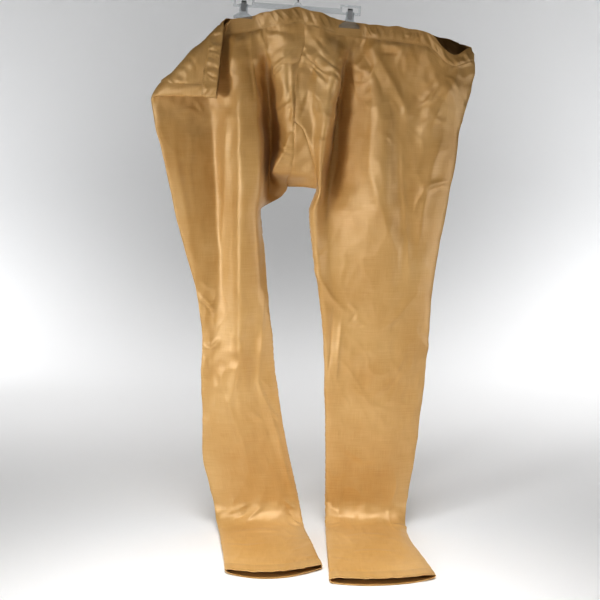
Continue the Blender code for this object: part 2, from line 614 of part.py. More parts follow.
def prism(name, outline, depth_from, depth_to, material, window=None):
    """Extrude an outline (x, z) from one depth to another, with an optional four-sided window."""
    maker = bmesh.new()
    rings = []
    for loop in ([outline] if window is None else [outline, window]):
        front = [maker.verts.new((x, depth_from, z)) for x, z in loop]
        back = [maker.verts.new((x, depth_to, z)) for x, z in loop]
        rings.append((front, back))
        count = len(loop)
        for index in range(count):
            after = (index + 1) % count
            maker.faces.new((front[index], front[after], back[after], back[index]))
    if window is None:
        maker.faces.new(rings[0][0])
        maker.faces.new(rings[0][1])
    else:
        for side in (0, 1):
            outer, inner = rings[0][side], rings[1][side]
            for index in range(4):
                after = (index + 1) % 4
                maker.faces.new((outer[index], outer[after], inner[after], inner[index]))
    bmesh.ops.recalc_face_normals(maker, faces=maker.faces)
    return add_object(name, maker, material)


def hang_tilted(piece):
    """Place a piece that is drawn about the bar's centre."""
    piece.location = BAR_CENTRE
    piece.rotation_euler = (0.0, HANGER_TILT, 0.0)
    bpy.context.view_layer.update()
    return piece


def make_bar():
    """Flat bar with an open frame at each end for its clip."""
    half = CLIP_SPACING / 2
    frame = FRAME_WIDTH / 2
    top = FRAME_HEIGHT - BAR_HEIGHT / 2
    parts = []
    for side, name in ((-1, "left"), (1, "right")):
        centre = side * half
        low, high = -BAR_HEIGHT / 2, top
        left, right = centre - frame, centre + frame
        outline = [(left, low), (right, low), (right, high), (left, high)]
        window = [(left + FRAME_RIM, low + FRAME_RIM), (right - FRAME_RIM, low + FRAME_RIM),
                  (right - FRAME_RIM, high - FRAME_RIM), (left + FRAME_RIM, high - FRAME_RIM)]
        parts.append(hang_tilted(prism("frame_" + name, outline, -BAR_HALF_DEPTH, BAR_HALF_DEPTH,
                                       "clear_plastic", window)))
    reach = half - frame + BAR_OVERLAP
    low, high = -BAR_HEIGHT / 2 + BAR_STEP, BAR_HEIGHT / 2
    face = BAR_HALF_DEPTH - BAR_FACE_STEP
    middle = prism("hanger_bar", [(-reach, low), (reach, low), (reach, high), (-reach, high)],
                   -face, face, "clear_plastic")
    hang_tilted(middle)
    boss = bpy.data.meshes.new("boss")
    maker = bmesh.new()
    bmesh.ops.create_cone(maker, cap_ends=True, segments=20, radius1=BOSS_RADIUS, radius2=BOSS_RADIUS,
                          depth=2 * BAR_HALF_DEPTH)
    bmesh.ops.rotate(maker, verts=maker.verts, cent=(0, 0, 0), matrix=rotation_to_depth())
    bmesh.ops.translate(maker, verts=maker.verts, vec=BOSS_PLACE)
    maker.to_mesh(boss)
    maker.free()
    boss_piece = bpy.data.objects.new("boss", boss)
    bpy.context.collection.objects.link(boss_piece)
    hang_tilted(boss_piece)
    for part in parts + [boss_piece]:
        part.hide_render = True
        part.display_type = "WIRE"
        joint = middle.modifiers.new("join_" + part.name, "BOOLEAN")
        joint.operation = "UNION"
        joint.object = part
    return middle


def rotation_to_depth():
    """Turn +Z onto +Y."""
    return Matrix.Rotation(-math.pi / 2, 3, "X")


def make_clip(name, side):
    """Two flared jaws that hold the cloth between them, and the spring strap round their necks."""
    centre = side * CLIP_SPACING / 2
    lip = JAW_LIP[name]
    neck = JAW_NECK / 2
    flare = JAW_FLARE[name] / 2
    outline = [(centre - neck, JAW_TOP), (centre - neck, JAW_SHOULDER), (centre - flare, lip + 0.004),
               (centre - flare, lip), (centre + flare, lip), (centre + flare, lip + 0.004),
               (centre + neck, JAW_SHOULDER), (centre + neck, JAW_TOP)]
    for face, way in (("front", -1.0), ("back", 1.0)):
        hang_tilted(prism("clip_%s_%s_jaw" % (name, face), outline, way * JAW_INSIDE,
                          way * (JAW_INSIDE + JAW_THICKNESS), "clear_plastic"))
    make_spring("clip_%s_spring" % name, centre)


def make_spring(name, centre):
    """A strap bent over the two jaws: an arch drawn from the side, as wide as the spring."""
    inner = JAW_INSIDE + JAW_THICKNESS + SEAM_GAP
    outer = inner + SPRING_THICKNESS
    profile = [(-outer, SPRING_LOW)]
    for index in range(CROWN_STEPS + 1):
        angle = math.pi - math.pi * index / CROWN_STEPS
        profile.append((outer * math.cos(angle), SPRING_HIGH + SPRING_CROWN * outer * math.sin(angle)))
    profile.append((outer, SPRING_LOW))
    profile.append((inner, SPRING_LOW))
    for index in range(CROWN_STEPS + 1):
        angle = math.pi * index / CROWN_STEPS
        rise = SPRING_CROWN * outer - SPRING_THICKNESS
        profile.append((inner * math.cos(angle), SPRING_HIGH + rise * math.sin(angle)))
    profile.append((-inner, SPRING_LOW))
    maker = bmesh.new()
    half = SPRING_WIDTH / 2
    left = [maker.verts.new((centre - half, y, z)) for y, z in profile]
    right = [maker.verts.new((centre + half, y, z)) for y, z in profile]
    count = len(profile)
    for index in range(count):
        after = (index + 1) % count
        maker.faces.new((left[index], left[after], right[after], right[index]))
    maker.faces.new(left)
    maker.faces.new(right)
    bmesh.ops.recalc_face_normals(maker, faces=maker.faces)
    return hang_tilted(add_object(name, maker, "spring_steel"))


def make_hook():
    """Wire hook: an open crook over the origin, its stem down to the bar."""
    radius = HOOK_INNER + HOOK_WIRE
    centre_z = -HOOK_INNER
    points = []
    for index in range(HOOK_STEPS + 1):
        angle = HOOK_OPENING + (HOOK_BEND_END - HOOK_OPENING) * index / HOOK_STEPS
        points.append((radius * math.cos(angle), centre_z + radius * math.sin(angle)))
    last_x, last_z = points[-1]
    foot = BAR_CENTRE.z + STEM_FOOT
    for part in (0.35, 0.7, 1.0):
        bend = smooth_step(part)
        points.append((last_x * (1.0 - bend), last_z + (STEM_TOP - last_z) * part))
    points.append((0.0, (STEM_TOP + foot) / 2))
    points.append((0.0, foot))
    curve = bpy.data.curves.new("hanger_hook", "CURVE")
    curve.dimensions = "3D"
    curve.bevel_depth = HOOK_WIRE
    curve.bevel_resolution = 2
    curve.use_fill_caps = True
    spline = curve.splines.new("POLY")
    spline.points.add(len(points) - 1)
    for target, (x, z) in zip(spline.points, points):
        target.co = (x, 0.0, z, 1.0)
    curve.materials.append(finish("spring_steel"))
    hook = bpy.data.objects.new("hanger_hook", curve)
    bpy.context.collection.objects.link(hook)
    return hook


make_panels()
make_casings()
make_hems()
make_gusset()
make_bar()
make_clip("left", -1)
make_clip("right", 1)
make_hook()
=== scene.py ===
import math

import bpy
import numpy as np
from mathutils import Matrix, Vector, noise


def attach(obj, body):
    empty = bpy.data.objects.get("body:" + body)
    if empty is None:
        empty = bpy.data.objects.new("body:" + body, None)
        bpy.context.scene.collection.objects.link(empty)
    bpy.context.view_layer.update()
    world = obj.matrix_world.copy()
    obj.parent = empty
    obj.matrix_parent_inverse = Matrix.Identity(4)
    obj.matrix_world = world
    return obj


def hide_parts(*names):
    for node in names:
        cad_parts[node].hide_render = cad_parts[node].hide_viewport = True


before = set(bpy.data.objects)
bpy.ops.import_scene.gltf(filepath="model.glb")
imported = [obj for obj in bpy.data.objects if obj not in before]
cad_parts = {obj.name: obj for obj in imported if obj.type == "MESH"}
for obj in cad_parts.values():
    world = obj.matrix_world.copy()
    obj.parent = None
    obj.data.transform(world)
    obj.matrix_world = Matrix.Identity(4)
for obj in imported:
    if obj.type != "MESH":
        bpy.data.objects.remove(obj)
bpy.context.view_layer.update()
print("frame loaded")

mm = 0.001

# Levels down the cloth from the hook's rest, and how the cloth hangs, as the solids have them
hang = {"waist": 93.0, "casing": 27.0, "hem": 26.0, "knot": 285.0, "knotFade": 20.0,
        "fork": 410.0, "forkFade": 22.0, "bendStart": 985.0, "bendRadius": 47.0, "slantEnd": 340.0,
        "sideSeam": 8, "roundEdge": 0.55}
legs = {
    "left": {"hem": 1243.0, "hemOut": -8.0, "hemMid": 30.0, "hemIn": -26.0},
    "right": {"hem": 1280.0, "hemOut": -22.0, "hemMid": 17.0, "hemIn": -4.0},
}
# how far the waist has dropped, at a distance from the centre front: (distance, drop)
waistDrop = {
    "centre": 4.0,
    "left": ((0, 0), (34, 3), (63, 8), (84, 14), (130, 20), (262, 34)),
    "right": ((0, 0), (22, 6), (47, 13), (68, 20), (106, 26), (174, 34), (224, 42), (256, 50), (300, 67)),
}
# the front of the waist sags at its right corner
sag = {"centre": 266.0, "halfWidth": 46.0, "drop": 27.0, "end": 200.0, "frontFrom": 6.0, "frontFade": 14.0}
# the left corner turns forward about a line from its top to its foot; frontFrom and below say what lies on it
flap = {"top": (-110.0, -109.0), "foot": (-243.0, -249.0), "topRadius": 6.0, "footRadius": 10.0,
        "turn": 169.0, "frontFrom": -14.0, "frontFade": 8.0, "lowest": -300.0}
ground = -1.0425  # metres

# The lines that the cloth runs in, from the front seam round the outside to the back seam.
# A line has a row for each height: (level, across, depth), depth + to the back.
leftLines = {
    "frontSeam": (
        (93, 3.5, -10), (113, 10, -10), (148, 12, -8), (182, 4, -6), (208, -2, -6), (250, -4, -7),
        (285, -6, -9), (339, -7, -6), (365, -10, -2), (379, -12, 4), (394, -21, 36), (410, -20, 60),
        (427, -31, 66), (449, -69, 42), (518, -63, 26), (610, -58, 14), (694, -48, 6), (798, -37, 2),
        (894, -19, 0), (985, 0, -1), (1058, 12, 1), (1243, 41, 4)),
    "fold": (
        (93, -25, -14), (148, -22, -13), (182, -21, -9), (242, -19, -4), (295, -18, -2), (339, -25, 0),
        (365, -41, 3), (379, -46, 6), (394, -36, 36), (410, -29, 56), (427, -41, 62), (449, -70, 28),
        (518, -62, 15), (610, -55, 5), (694, -46, 0), (798, -36, -3), (894, -20, -4), (985, -1.5, -5),
        (1058, 10, -3), (1243, 40, 1)),
    "valley": (
        (93, -52, -12), (131, -57, -2), (182, -55, 17), (242, -52, 40), (295, -50, 55), (339, -50, 62),
        (379, -53, 64), (410, -52, 61), (427, -55, 50), (449, -70, 12), (518, -66, 3), (610, -63, -5),
        (694, -56, -7), (798, -49, -7), (894, -36, -8), (985, -17, -8), (1058, -6, -6), (1243, 14, -2)),
    "edge": (
        (93, -78, -2), (116, -78, -2), (135, -84, -8), (182, -79, -12), (242, -74, -14), (295, -72, -15),
        (339, -71, -16), (410, -69, -15), (449, -74, -13), (518, -73, -13), (610, -75, -15),
        (694, -76, -12), (798, -74, -11), (894, -64, -10), (985, -45, -10), (1058, -36, -7),
        (1243, -18, -3)),
    "ridge": (
        (93, -112, -2), (116, -112, -2), (135, -107, -11), (182, -103, -17), (242, -100, -22),
        (339, -97, -25), (410, -95, -25), (518, -99, -22), (610, -99, -20), (694, -103, -17),
        (798, -110, -16), (894, -94, -15), (985, -76, -13), (1058, -68, -8), (1243, -50, -3)),
    "rise": (
        (93, -137, -3), (131, -134, -3), (182, -131, -4), (242, -127, -5), (295, -125, -5), (339, -124, -5),
        (410, -122, -5), (449, -121, -6), (518, -121, -7), (610, -122, -8), (694, -127, -9),
        (798, -135, -12), (894, -120, -13), (985, -103, -12), (1058, -96, -8), (1243, -78, -2)),
    "hollow": (
        (93, -197, -5), (131, -190, -4), (182, -172, 3), (242, -159, 13), (295, -155, 18), (339, -153, 19),
        (410, -150, 18), (449, -148, 16), (518, -147, 11), (610, -149, 5), (694, -151, -1), (798, -155, -5),
        (894, -148, -9), (985, -133, -9), (1058, -124, -6), (1243, -104, -1)),
    "outer": (
        (93, -266, 1), (182, -260, 1), (242, -257, 1), (295, -252, -2), (339, -242, -3), (410, -228, 1),
        (449, -222, 4), (518, -204, 7), (610, -183, 6), (694, -176, 3), (798, -178, 1), (894, -178, 0),
        (985, -159, 0), (1058, -146, 1), (1243, -123, 4)),
    "sideSeam": (
        (93, -244, 6), (182, -240, 7), (242, -237, 10), (295, -230, 14), (339, -220, 18), (410, -205, 20),
        (449, -198, 20), (518, -182, 20), (610, -165, 18), (694, -161, 15), (798, -163, 13),
        (894, -165, 11), (985, -147, 9), (1058, -134, 8), (1243, -112, 8)),
    "backOuter": (
        (93, -190, 6), (182, -186, 7), (242, -182, 17), (295, -178, 30), (339, -172, 34), (410, -160, 36),
        (449, -152, 36), (518, -140, 34), (610, -130, 30), (694, -128, 24), (798, -130, 20),
        (894, -130, 16), (985, -112, 12), (1058, -100, 9), (1243, -80, 9)),
    "backValley": (
        (93, -137, 3), (131, -138, 5), (182, -138, 15), (242, -140, 31), (295, -140, 40), (339, -138, 44),
        (410, -128, 46), (449, -124, 44), (518, -116, 38), (610, -108, 30), (694, -106, 24),
        (798, -106, 20), (894, -100, 16), (985, -82, 12), (1058, -70, 9), (1243, -50, 9)),
    "backRidge": (
        (93, -112, 2), (116, -112, 2), (135, -102, 14), (182, -98, 38), (242, -94, 58), (295, -92, 70),
        (339, -90, 77), (410, -88, 78), (449, -92, 66), (518, -90, 52), (610, -86, 38), (694, -82, 28),
        (798, -80, 22), (894, -72, 16), (985, -50, 12), (1058, -40, 9), (1243, -18, 9)),
    "backInner": (
        (93, -78, 2), (116, -78, 2), (135, -66, 16), (182, -58, 40), (242, -54, 62), (295, -52, 76),
        (339, -52, 84), (379, -54, 87), (410, -58, 86), (449, -80, 60), (518, -75, 45), (610, -69, 32),
        (694, -63, 22), (798, -55, 16), (894, -38, 12), (985, -16, 9), (1058, -4, 8), (1243, 18, 8)),
    "backMiddle": (
        (93, -25, 14), (131, -24, 24), (182, -22, 40), (242, -20, 56), (295, -18, 66), (339, -20, 73),
        (379, -22, 78), (410, -27, 80), (427, -38, 77), (449, -72, 52), (518, -65.5, 37), (610, -61, 24),
        (694, -51, 14), (798, -40, 8), (894, -23, 6), (985, -4, 5), (1058, 9, 6), (1243, 39, 8)),
    "backSeam": (
        (93, 3.5, 12), (131, 6, 22), (182, 4, 36), (242, 2, 48), (295, 0, 56), (312, -6, 59), (339, -9, 63),
        (365, -11, 67), (379, -13, 68), (394, -17, 66), (410, -20, 60), (427, -31, 66), (449, -69, 42),
        (518, -63, 26), (610, -58, 14), (694, -48, 6), (798, -37, 2), (894, -19, 0), (985, 0, -1),
        (1058, 12, 1), (1243, 41, 4)),
}
rightLines = {
    "frontSeam": (
        (93, 3.8, -10), (113, 10.3, -10), (148, 12.3, -8), (182, 4.3, -6), (208, -1.7, -6),
        (250, -3.7, -7), (285, -5.7, -9), (300, 8, -10), (339, 22, -10), (365, 28, -9), (379, 31, -8),
        (394, 33, -2), (410, 33, 8), (427, 27, 14), (449, 20, 16), (518, 26, 12), (610, 39.5, 9),
        (694, 47.5, 6), (798, 49.5, 4), (894, 51, 2), (985, 51, 0), (1058, 51, 1), (1280, 53, 4)),
    "facet": (
        (93, 36, -13), (131, 36, -13), (182, 32, -12), (242, 25, -11), (295, 23, -9), (339, 29, -13),
        (379, 34, -14), (410, 35, -9), (427, 28, -4), (449, 20.5, -2), (518, 26, -1), (610, 39.5, -2),
        (694, 48, -3), (798, 50.5, -4), (894, 52, -5), (985, 52.5, -5), (1058, 52.5, -3), (1280, 54.5, 1)),
    "ridge": (
        (93, 68, -2), (127, 68, -2), (146, 65, -12), (182, 62, -18), (242, 52, -22), (295, 47, -24),
        (339, 42, -24), (379, 39.5, -23), (410, 39, -20), (449, 30, -15), (518, 34, -12), (610, 48, -9),
        (694, 56, -8), (798, 59, -8), (894, 61, -9), (985, 62, -9), (1058, 63, -6), (1280, 67, -2)),
    "valley": (
        (93, 111, -2), (125, 111, -2), (142, 97, 1), (182, 80, 14), (242, 73, 28), (295, 68, 34),
        (339, 63, 36), (379, 59, 34), (410, 57, 28), (449, 54, 12), (518, 57, 0), (610, 70, -6),
        (694, 76, -8), (798, 80, -9), (894, 82, -10), (985, 84, -10), (1058, 86, -7), (1280, 93, -3)),
    "softRidge": (
        (93, 144, -13), (131, 134, -15), (182, 138, -17), (242, 146, -20), (295, 150, -23), (339, 151, -25),
        (379, 152, -26), (410, 153, -26), (449, 156, -24), (518, 160, -21), (610, 156, -17),
        (694, 146, -15), (798, 140, -14), (894, 137, -14), (985, 134, -12), (1058, 136, -8),
        (1280, 148, -3)),
    "face": (
        (93, 192, -20), (131, 186, -20), (182, 182, -15), (242, 181, -12), (295, 181, -11), (410, 184, -12),
        (518, 190, -14), (610, 186, -14), (694, 180, -13), (798, 172, -12), (894, 168, -12),
        (985, 162, -11), (1058, 164, -7), (1280, 186, -2)),
    "outside": (
        (93, 250, -26), (182, 250, -24), (242, 244, -19), (295, 238, -15), (410, 222, -13), (518, 218, -11),
        (610, 212, -10), (694, 206, -9), (798, 199, -9), (894, 192, -8), (985, 184, -8), (1058, 184, -6),
        (1280, 212, -1)),
    "outer": (
        (93, 304, 2), (131, 311, 3), (182, 306, 4), (242, 297, 4), (295, 288, 5), (339, 284, 6),
        (410, 273, 8), (449, 267, 8), (518, 254, 7), (610, 242, 5), (694, 238, 3), (798, 229, 2),
        (894, 219, 1), (985, 206, 0), (1058, 200, 1), (1280, 231, 4)),
    "sideSeam": (
        (93, 284, 20), (131, 291, 22), (182, 287, 22), (242, 278, 22), (295, 270, 22), (339, 264, 22),
        (410, 253, 22), (449, 248, 22), (518, 236, 20), (610, 225, 17), (694, 221, 14), (798, 213, 12),
        (894, 204, 10), (985, 192, 9), (1058, 189, 8), (1280, 219, 8)),
    "backOuter": (
        (93, 225, 32), (131, 228, 36), (182, 228, 39), (242, 224, 39), (295, 216, 39), (339, 210, 40),
        (410, 202, 40), (449, 200, 38), (518, 196, 34), (610, 190, 28), (694, 186, 22), (798, 180, 19),
        (894, 172, 15), (985, 162, 11), (1058, 160, 9), (1280, 188, 9)),
    "backValley": (
        (93, 165, 20), (131, 168, 29), (182, 172, 30), (242, 170, 28), (295, 166, 28), (339, 160, 30),
        (410, 152, 34), (449, 150, 34), (518, 150, 30), (610, 148, 24), (694, 146, 19), (798, 142, 16),
        (894, 136, 13), (985, 130, 10), (1058, 130, 9), (1280, 150, 9)),
    "backRidge": (
        (93, 111, 2), (125, 111, 2), (142, 114, 18), (182, 118, 36), (242, 116, 46), (295, 112, 52),
        (339, 108, 56), (410, 104, 58), (449, 104, 54), (518, 108, 44), (610, 110, 34), (694, 108, 26),
        (798, 106, 21), (894, 102, 16), (985, 98, 12), (1058, 98, 9), (1280, 112, 9)),
    "backInner": (
        (93, 68, 2), (127, 68, 2), (146, 65, 16), (182, 58, 38), (242, 52, 54), (295, 48, 64),
        (339, 50, 70), (379, 56, 68), (410, 60, 62), (449, 60, 50), (518, 66, 40), (610, 76, 30),
        (694, 80, 22), (798, 80, 17), (894, 78, 13), (985, 76, 10), (1058, 76, 9), (1280, 84, 9)),
    "backMiddle": (
        (93, 38, 14), (131, 36, 24), (182, 32, 40), (242, 28, 53), (295, 26, 63), (339, 30, 70),
        (365, 37, 68), (379, 41, 62), (394, 43, 52), (410, 43, 42), (427, 38, 38), (449, 32, 36),
        (518, 38, 28), (610, 50, 20), (694, 56, 14), (798, 57, 11), (894, 57, 9), (985, 56, 7),
        (1058, 56, 6), (1280, 57, 8)),
    "backSeam": (
        (93, 3.8, 12), (131, 6.3, 22), (182, 4.3, 36), (242, 2.3, 48), (295, 0.3, 56), (312, 8, 60),
        (339, 13, 65), (365, 20, 62), (379, 25, 54), (394, 30, 34), (410, 33, 8), (427, 27, 14),
        (449, 20, 16), (518, 26, 12), (610, 39.5, 9), (694, 47.5, 6), (798, 49.5, 4), (894, 51, 2),
        (985, 51, 0), (1058, 51, 1), (1280, 53, 4)),
}
lines = {"left": leftLines, "right": rightLines}


# Shape of the cloth

def smooth(value):
    value = np.clip(value, 0.0, 1.0)
    return value * value * (3.0 - 2.0 * value)


def gentle(before, after):
    # A slope that never overshoots: none at a turn, else the harmonic mean
    same = before * after > 0.0
    total = np.where(same, before + after, 1.0)
    return np.where(same, 2.0 * before * after / total, 0.0)


def cubic(a, b, slopeA, slopeB, part):
    square = part * part
    cube = square * part
    return (a * (2 * cube - 3 * square + 1) + slopeA * (cube - 2 * square + part)
            + b * (3 * square - 2 * cube) + slopeB * (cube - square))


def readLine(rows, levels, column):
    # One column of a line's rows at many levels
    table = np.array(rows, float)
    at, value = table[:, 0], table[:, column]
    steps = np.diff(at)
    rises = np.diff(value) / steps
    slopes = np.concatenate(([rises[0]], gentle(rises[:-1], rises[1:]), [rises[-1]]))
    level = np.clip(levels, at[0], at[-1])
    index = np.clip(np.searchsorted(at, level, side="right") - 1, 0, len(steps) - 1)
    step = steps[index]
    part = (level - at[index]) / step
    return cubic(value[index], value[index + 1], slopes[index] * step, slopes[index + 1] * step, part)


def sections(leg, levels, places):
    # Across and depth for each level (rows) and place (columns); places count lines from the front seam
    rows = list(lines[leg].values())
    points = np.stack([np.stack([readLine(r, levels, 1), readLine(r, levels, 2)], -1) for r in rows])
    steps = np.sqrt(np.maximum(np.linalg.norm(np.diff(points, axis=0), axis=-1), 0.01))
    runs = np.diff(points, axis=0) / steps[..., None]
    slopes = np.zeros_like(points)
    slopes[1:-1] = gentle(runs[:-1], runs[1:])
    widest = list(lines[leg]).index("outer")
    slopes[widest] = 0.0
    slopes[widest, :, 1] = hang["roundEdge"] * np.linalg.norm(runs[widest], axis=-1)
    joined = gentle(runs[-1], runs[0])
    levelOff = smooth((levels - hang["knot"]) / hang["knotFade"])[:, None]
    share = smooth((levels - hang["fork"]) / hang["forkFade"] + 1.0)[:, None]
    for end, run in ((0, runs[0]), (-1, runs[-1])):
        flat = np.zeros_like(run)
        flat[:, 0] = np.copysign(np.linalg.norm(run, axis=-1), run[:, 0])
        slopes[end] = (flat * (1 - levelOff) + run * levelOff) * (1 - share) + joined * share
    index = np.minimum(places.astype(int), len(rows) - 2)
    part = (places - index)[:, None, None]
    step = steps[index][..., None]
    shape = cubic(points[index], points[index + 1], slopes[index] * step, slopes[index + 1] * step, part)
    return shape.transpose(1, 0, 2)


def trueLevels(leg, across, depth, levels):
    shape = legs[leg]
    level = levels[:, None]
    fade = 1.0 - smooth((level - hang["waist"]) / (hang["slantEnd"] - hang["waist"]))
    result = level + readLine(waistDrop[leg], np.abs(across - waistDrop["centre"]), 1) * fade
    if leg == "right":
        reach = np.abs(across - sag["centre"]) / sag["halfWidth"]
        front = smooth((sag["frontFrom"] - depth) / sag["frontFade"])
        share = 1.0 - smooth((level - hang["waist"]) / (sag["end"] - hang["waist"]))
        result = result + sag["drop"] * (1.0 - smooth(reach)) * front * share
    outer = readLine(lines[leg]["outer"], levels, 1)[:, None]
    inner = readLine(lines[leg]["frontSeam"], levels, 1)[:, None]
    part = (across - outer) / (inner - outer)
    slant = shape["hemOut"] * (1.0 - part) + shape["hemIn"] * part
    slant = slant + shape["hemMid"] * 4.0 * part * (1.0 - part)
    down = smooth((level - hang["bendStart"]) / (shape["hem"] - hang["bendStart"]))
    return result + slant * down


def hangCloth(across, depth, level):
    # Down from the waist, bent forward at the ground and laid along it; returns millimetres
    radius = hang["bendRadius"]
    bend = radius * math.pi / 2
    beyond = level - hang["bendStart"]
    turn = np.clip(beyond, 0.0, bend) / radius
    rest = np.maximum(beyond - bend, 0.0)
    y = np.where(beyond <= 0.0, depth, -radius + (radius + depth) * np.cos(turn) - rest)
    z = np.where(beyond <= 0.0, -level, -hang["bendStart"] - (radius + depth) * np.sin(turn))
    return np.stack([across + 0.0 * y, y, z], -1)


def turnCorner(points):
    # The left top corner turns forward about its slanting line
    top = np.array(flap["top"])
    run = np.array(flap["foot"]) - top
    foldLength = np.linalg.norm(run)
    run = run / foldLength
    out = np.array([run[1], -run[0]])
    out = out if out[0] < 0 else -out
    flat = points[..., [0, 2]] - top
    past = flat @ out
    downFold = smooth((flat @ run) / foldLength)
    radius = flap["topRadius"] + (flap["footRadius"] - flap["topRadius"]) * downFold
    turn = np.clip(past / radius, 0.0, math.radians(flap["turn"]))
    rest = past - turn * radius
    offAxis = points[..., 1] + radius
    moved = offAxis * np.sin(turn) + rest * np.cos(turn)
    depth = -radius + offAxis * np.cos(turn) - rest * np.sin(turn)
    placed = flat - past[..., None] * out + moved[..., None] * out + top
    result = np.stack([placed[..., 0], depth, placed[..., 1]], -1)
    return np.where((past > 0.0)[..., None], result, points)


def clothGrid(leg, places, levels):
    # The middle of the cloth, rows down and columns round, millimetres
    flat = sections(leg, levels, places)
    level = trueLevels(leg, flat[..., 0], flat[..., 1], levels)
    points = hangCloth(flat[..., 0], flat[..., 1], level)
    if leg == "left":
        above = levels < hang["slantEnd"]
        points[above] = turnCorner(points[above])
    return points


def outwards(points, leg, closed=False):
    # Unit directions out of the garment
    if closed:
        wide = np.concatenate([points[:, -1:], points, points[:, :1]], 1)
        across = np.gradient(wide, axis=1)[:, 1:-1]
    else:
        across = np.gradient(points, axis=1)
    down = np.gradient(points, axis=0)
    normal = np.cross(across, down)
    normal /= np.maximum(np.linalg.norm(normal, axis=-1, keepdims=True), 1e-9)
    return normal if leg == "left" else -normal


gaugeLevels = np.array([131.0, 295.0, 410.0, 518.0])  # where the gaps between lines are measured


def placesBetween(leg, first, last, spacing, fewest=3):
    # Columns between two lines, about as far apart as asked where the lines are widest apart
    rows = list(lines[leg].values())
    places = []
    for index in range(first, last):
        a, b = rows[index], rows[index + 1]
        gap = np.hypot(readLine(a, gaugeLevels, 1) - readLine(b, gaugeLevels, 1),
                       readLine(a, gaugeLevels, 2) - readLine(b, gaugeLevels, 2)).max()
        count = max(fewest, math.ceil(gap / spacing))
        places += [index + k / count for k in range(count)]
    return np.array(places + [float(last)])


def levelsBetween(start, end, spacing):
    # Rows from one level to another, evenly spaced and no further apart than asked
    levels = [start]
    while levels[-1] < end:
        levels.append(levels[-1] + spacing)
    return np.linspace(start, end, len(levels))


def alongRows(points):
    # How far along its row each point of a grid lies
    steps = np.linalg.norm(np.diff(points, axis=1), axis=-1)
    return np.concatenate([np.zeros((len(points), 1)), np.cumsum(steps, 1)], 1)


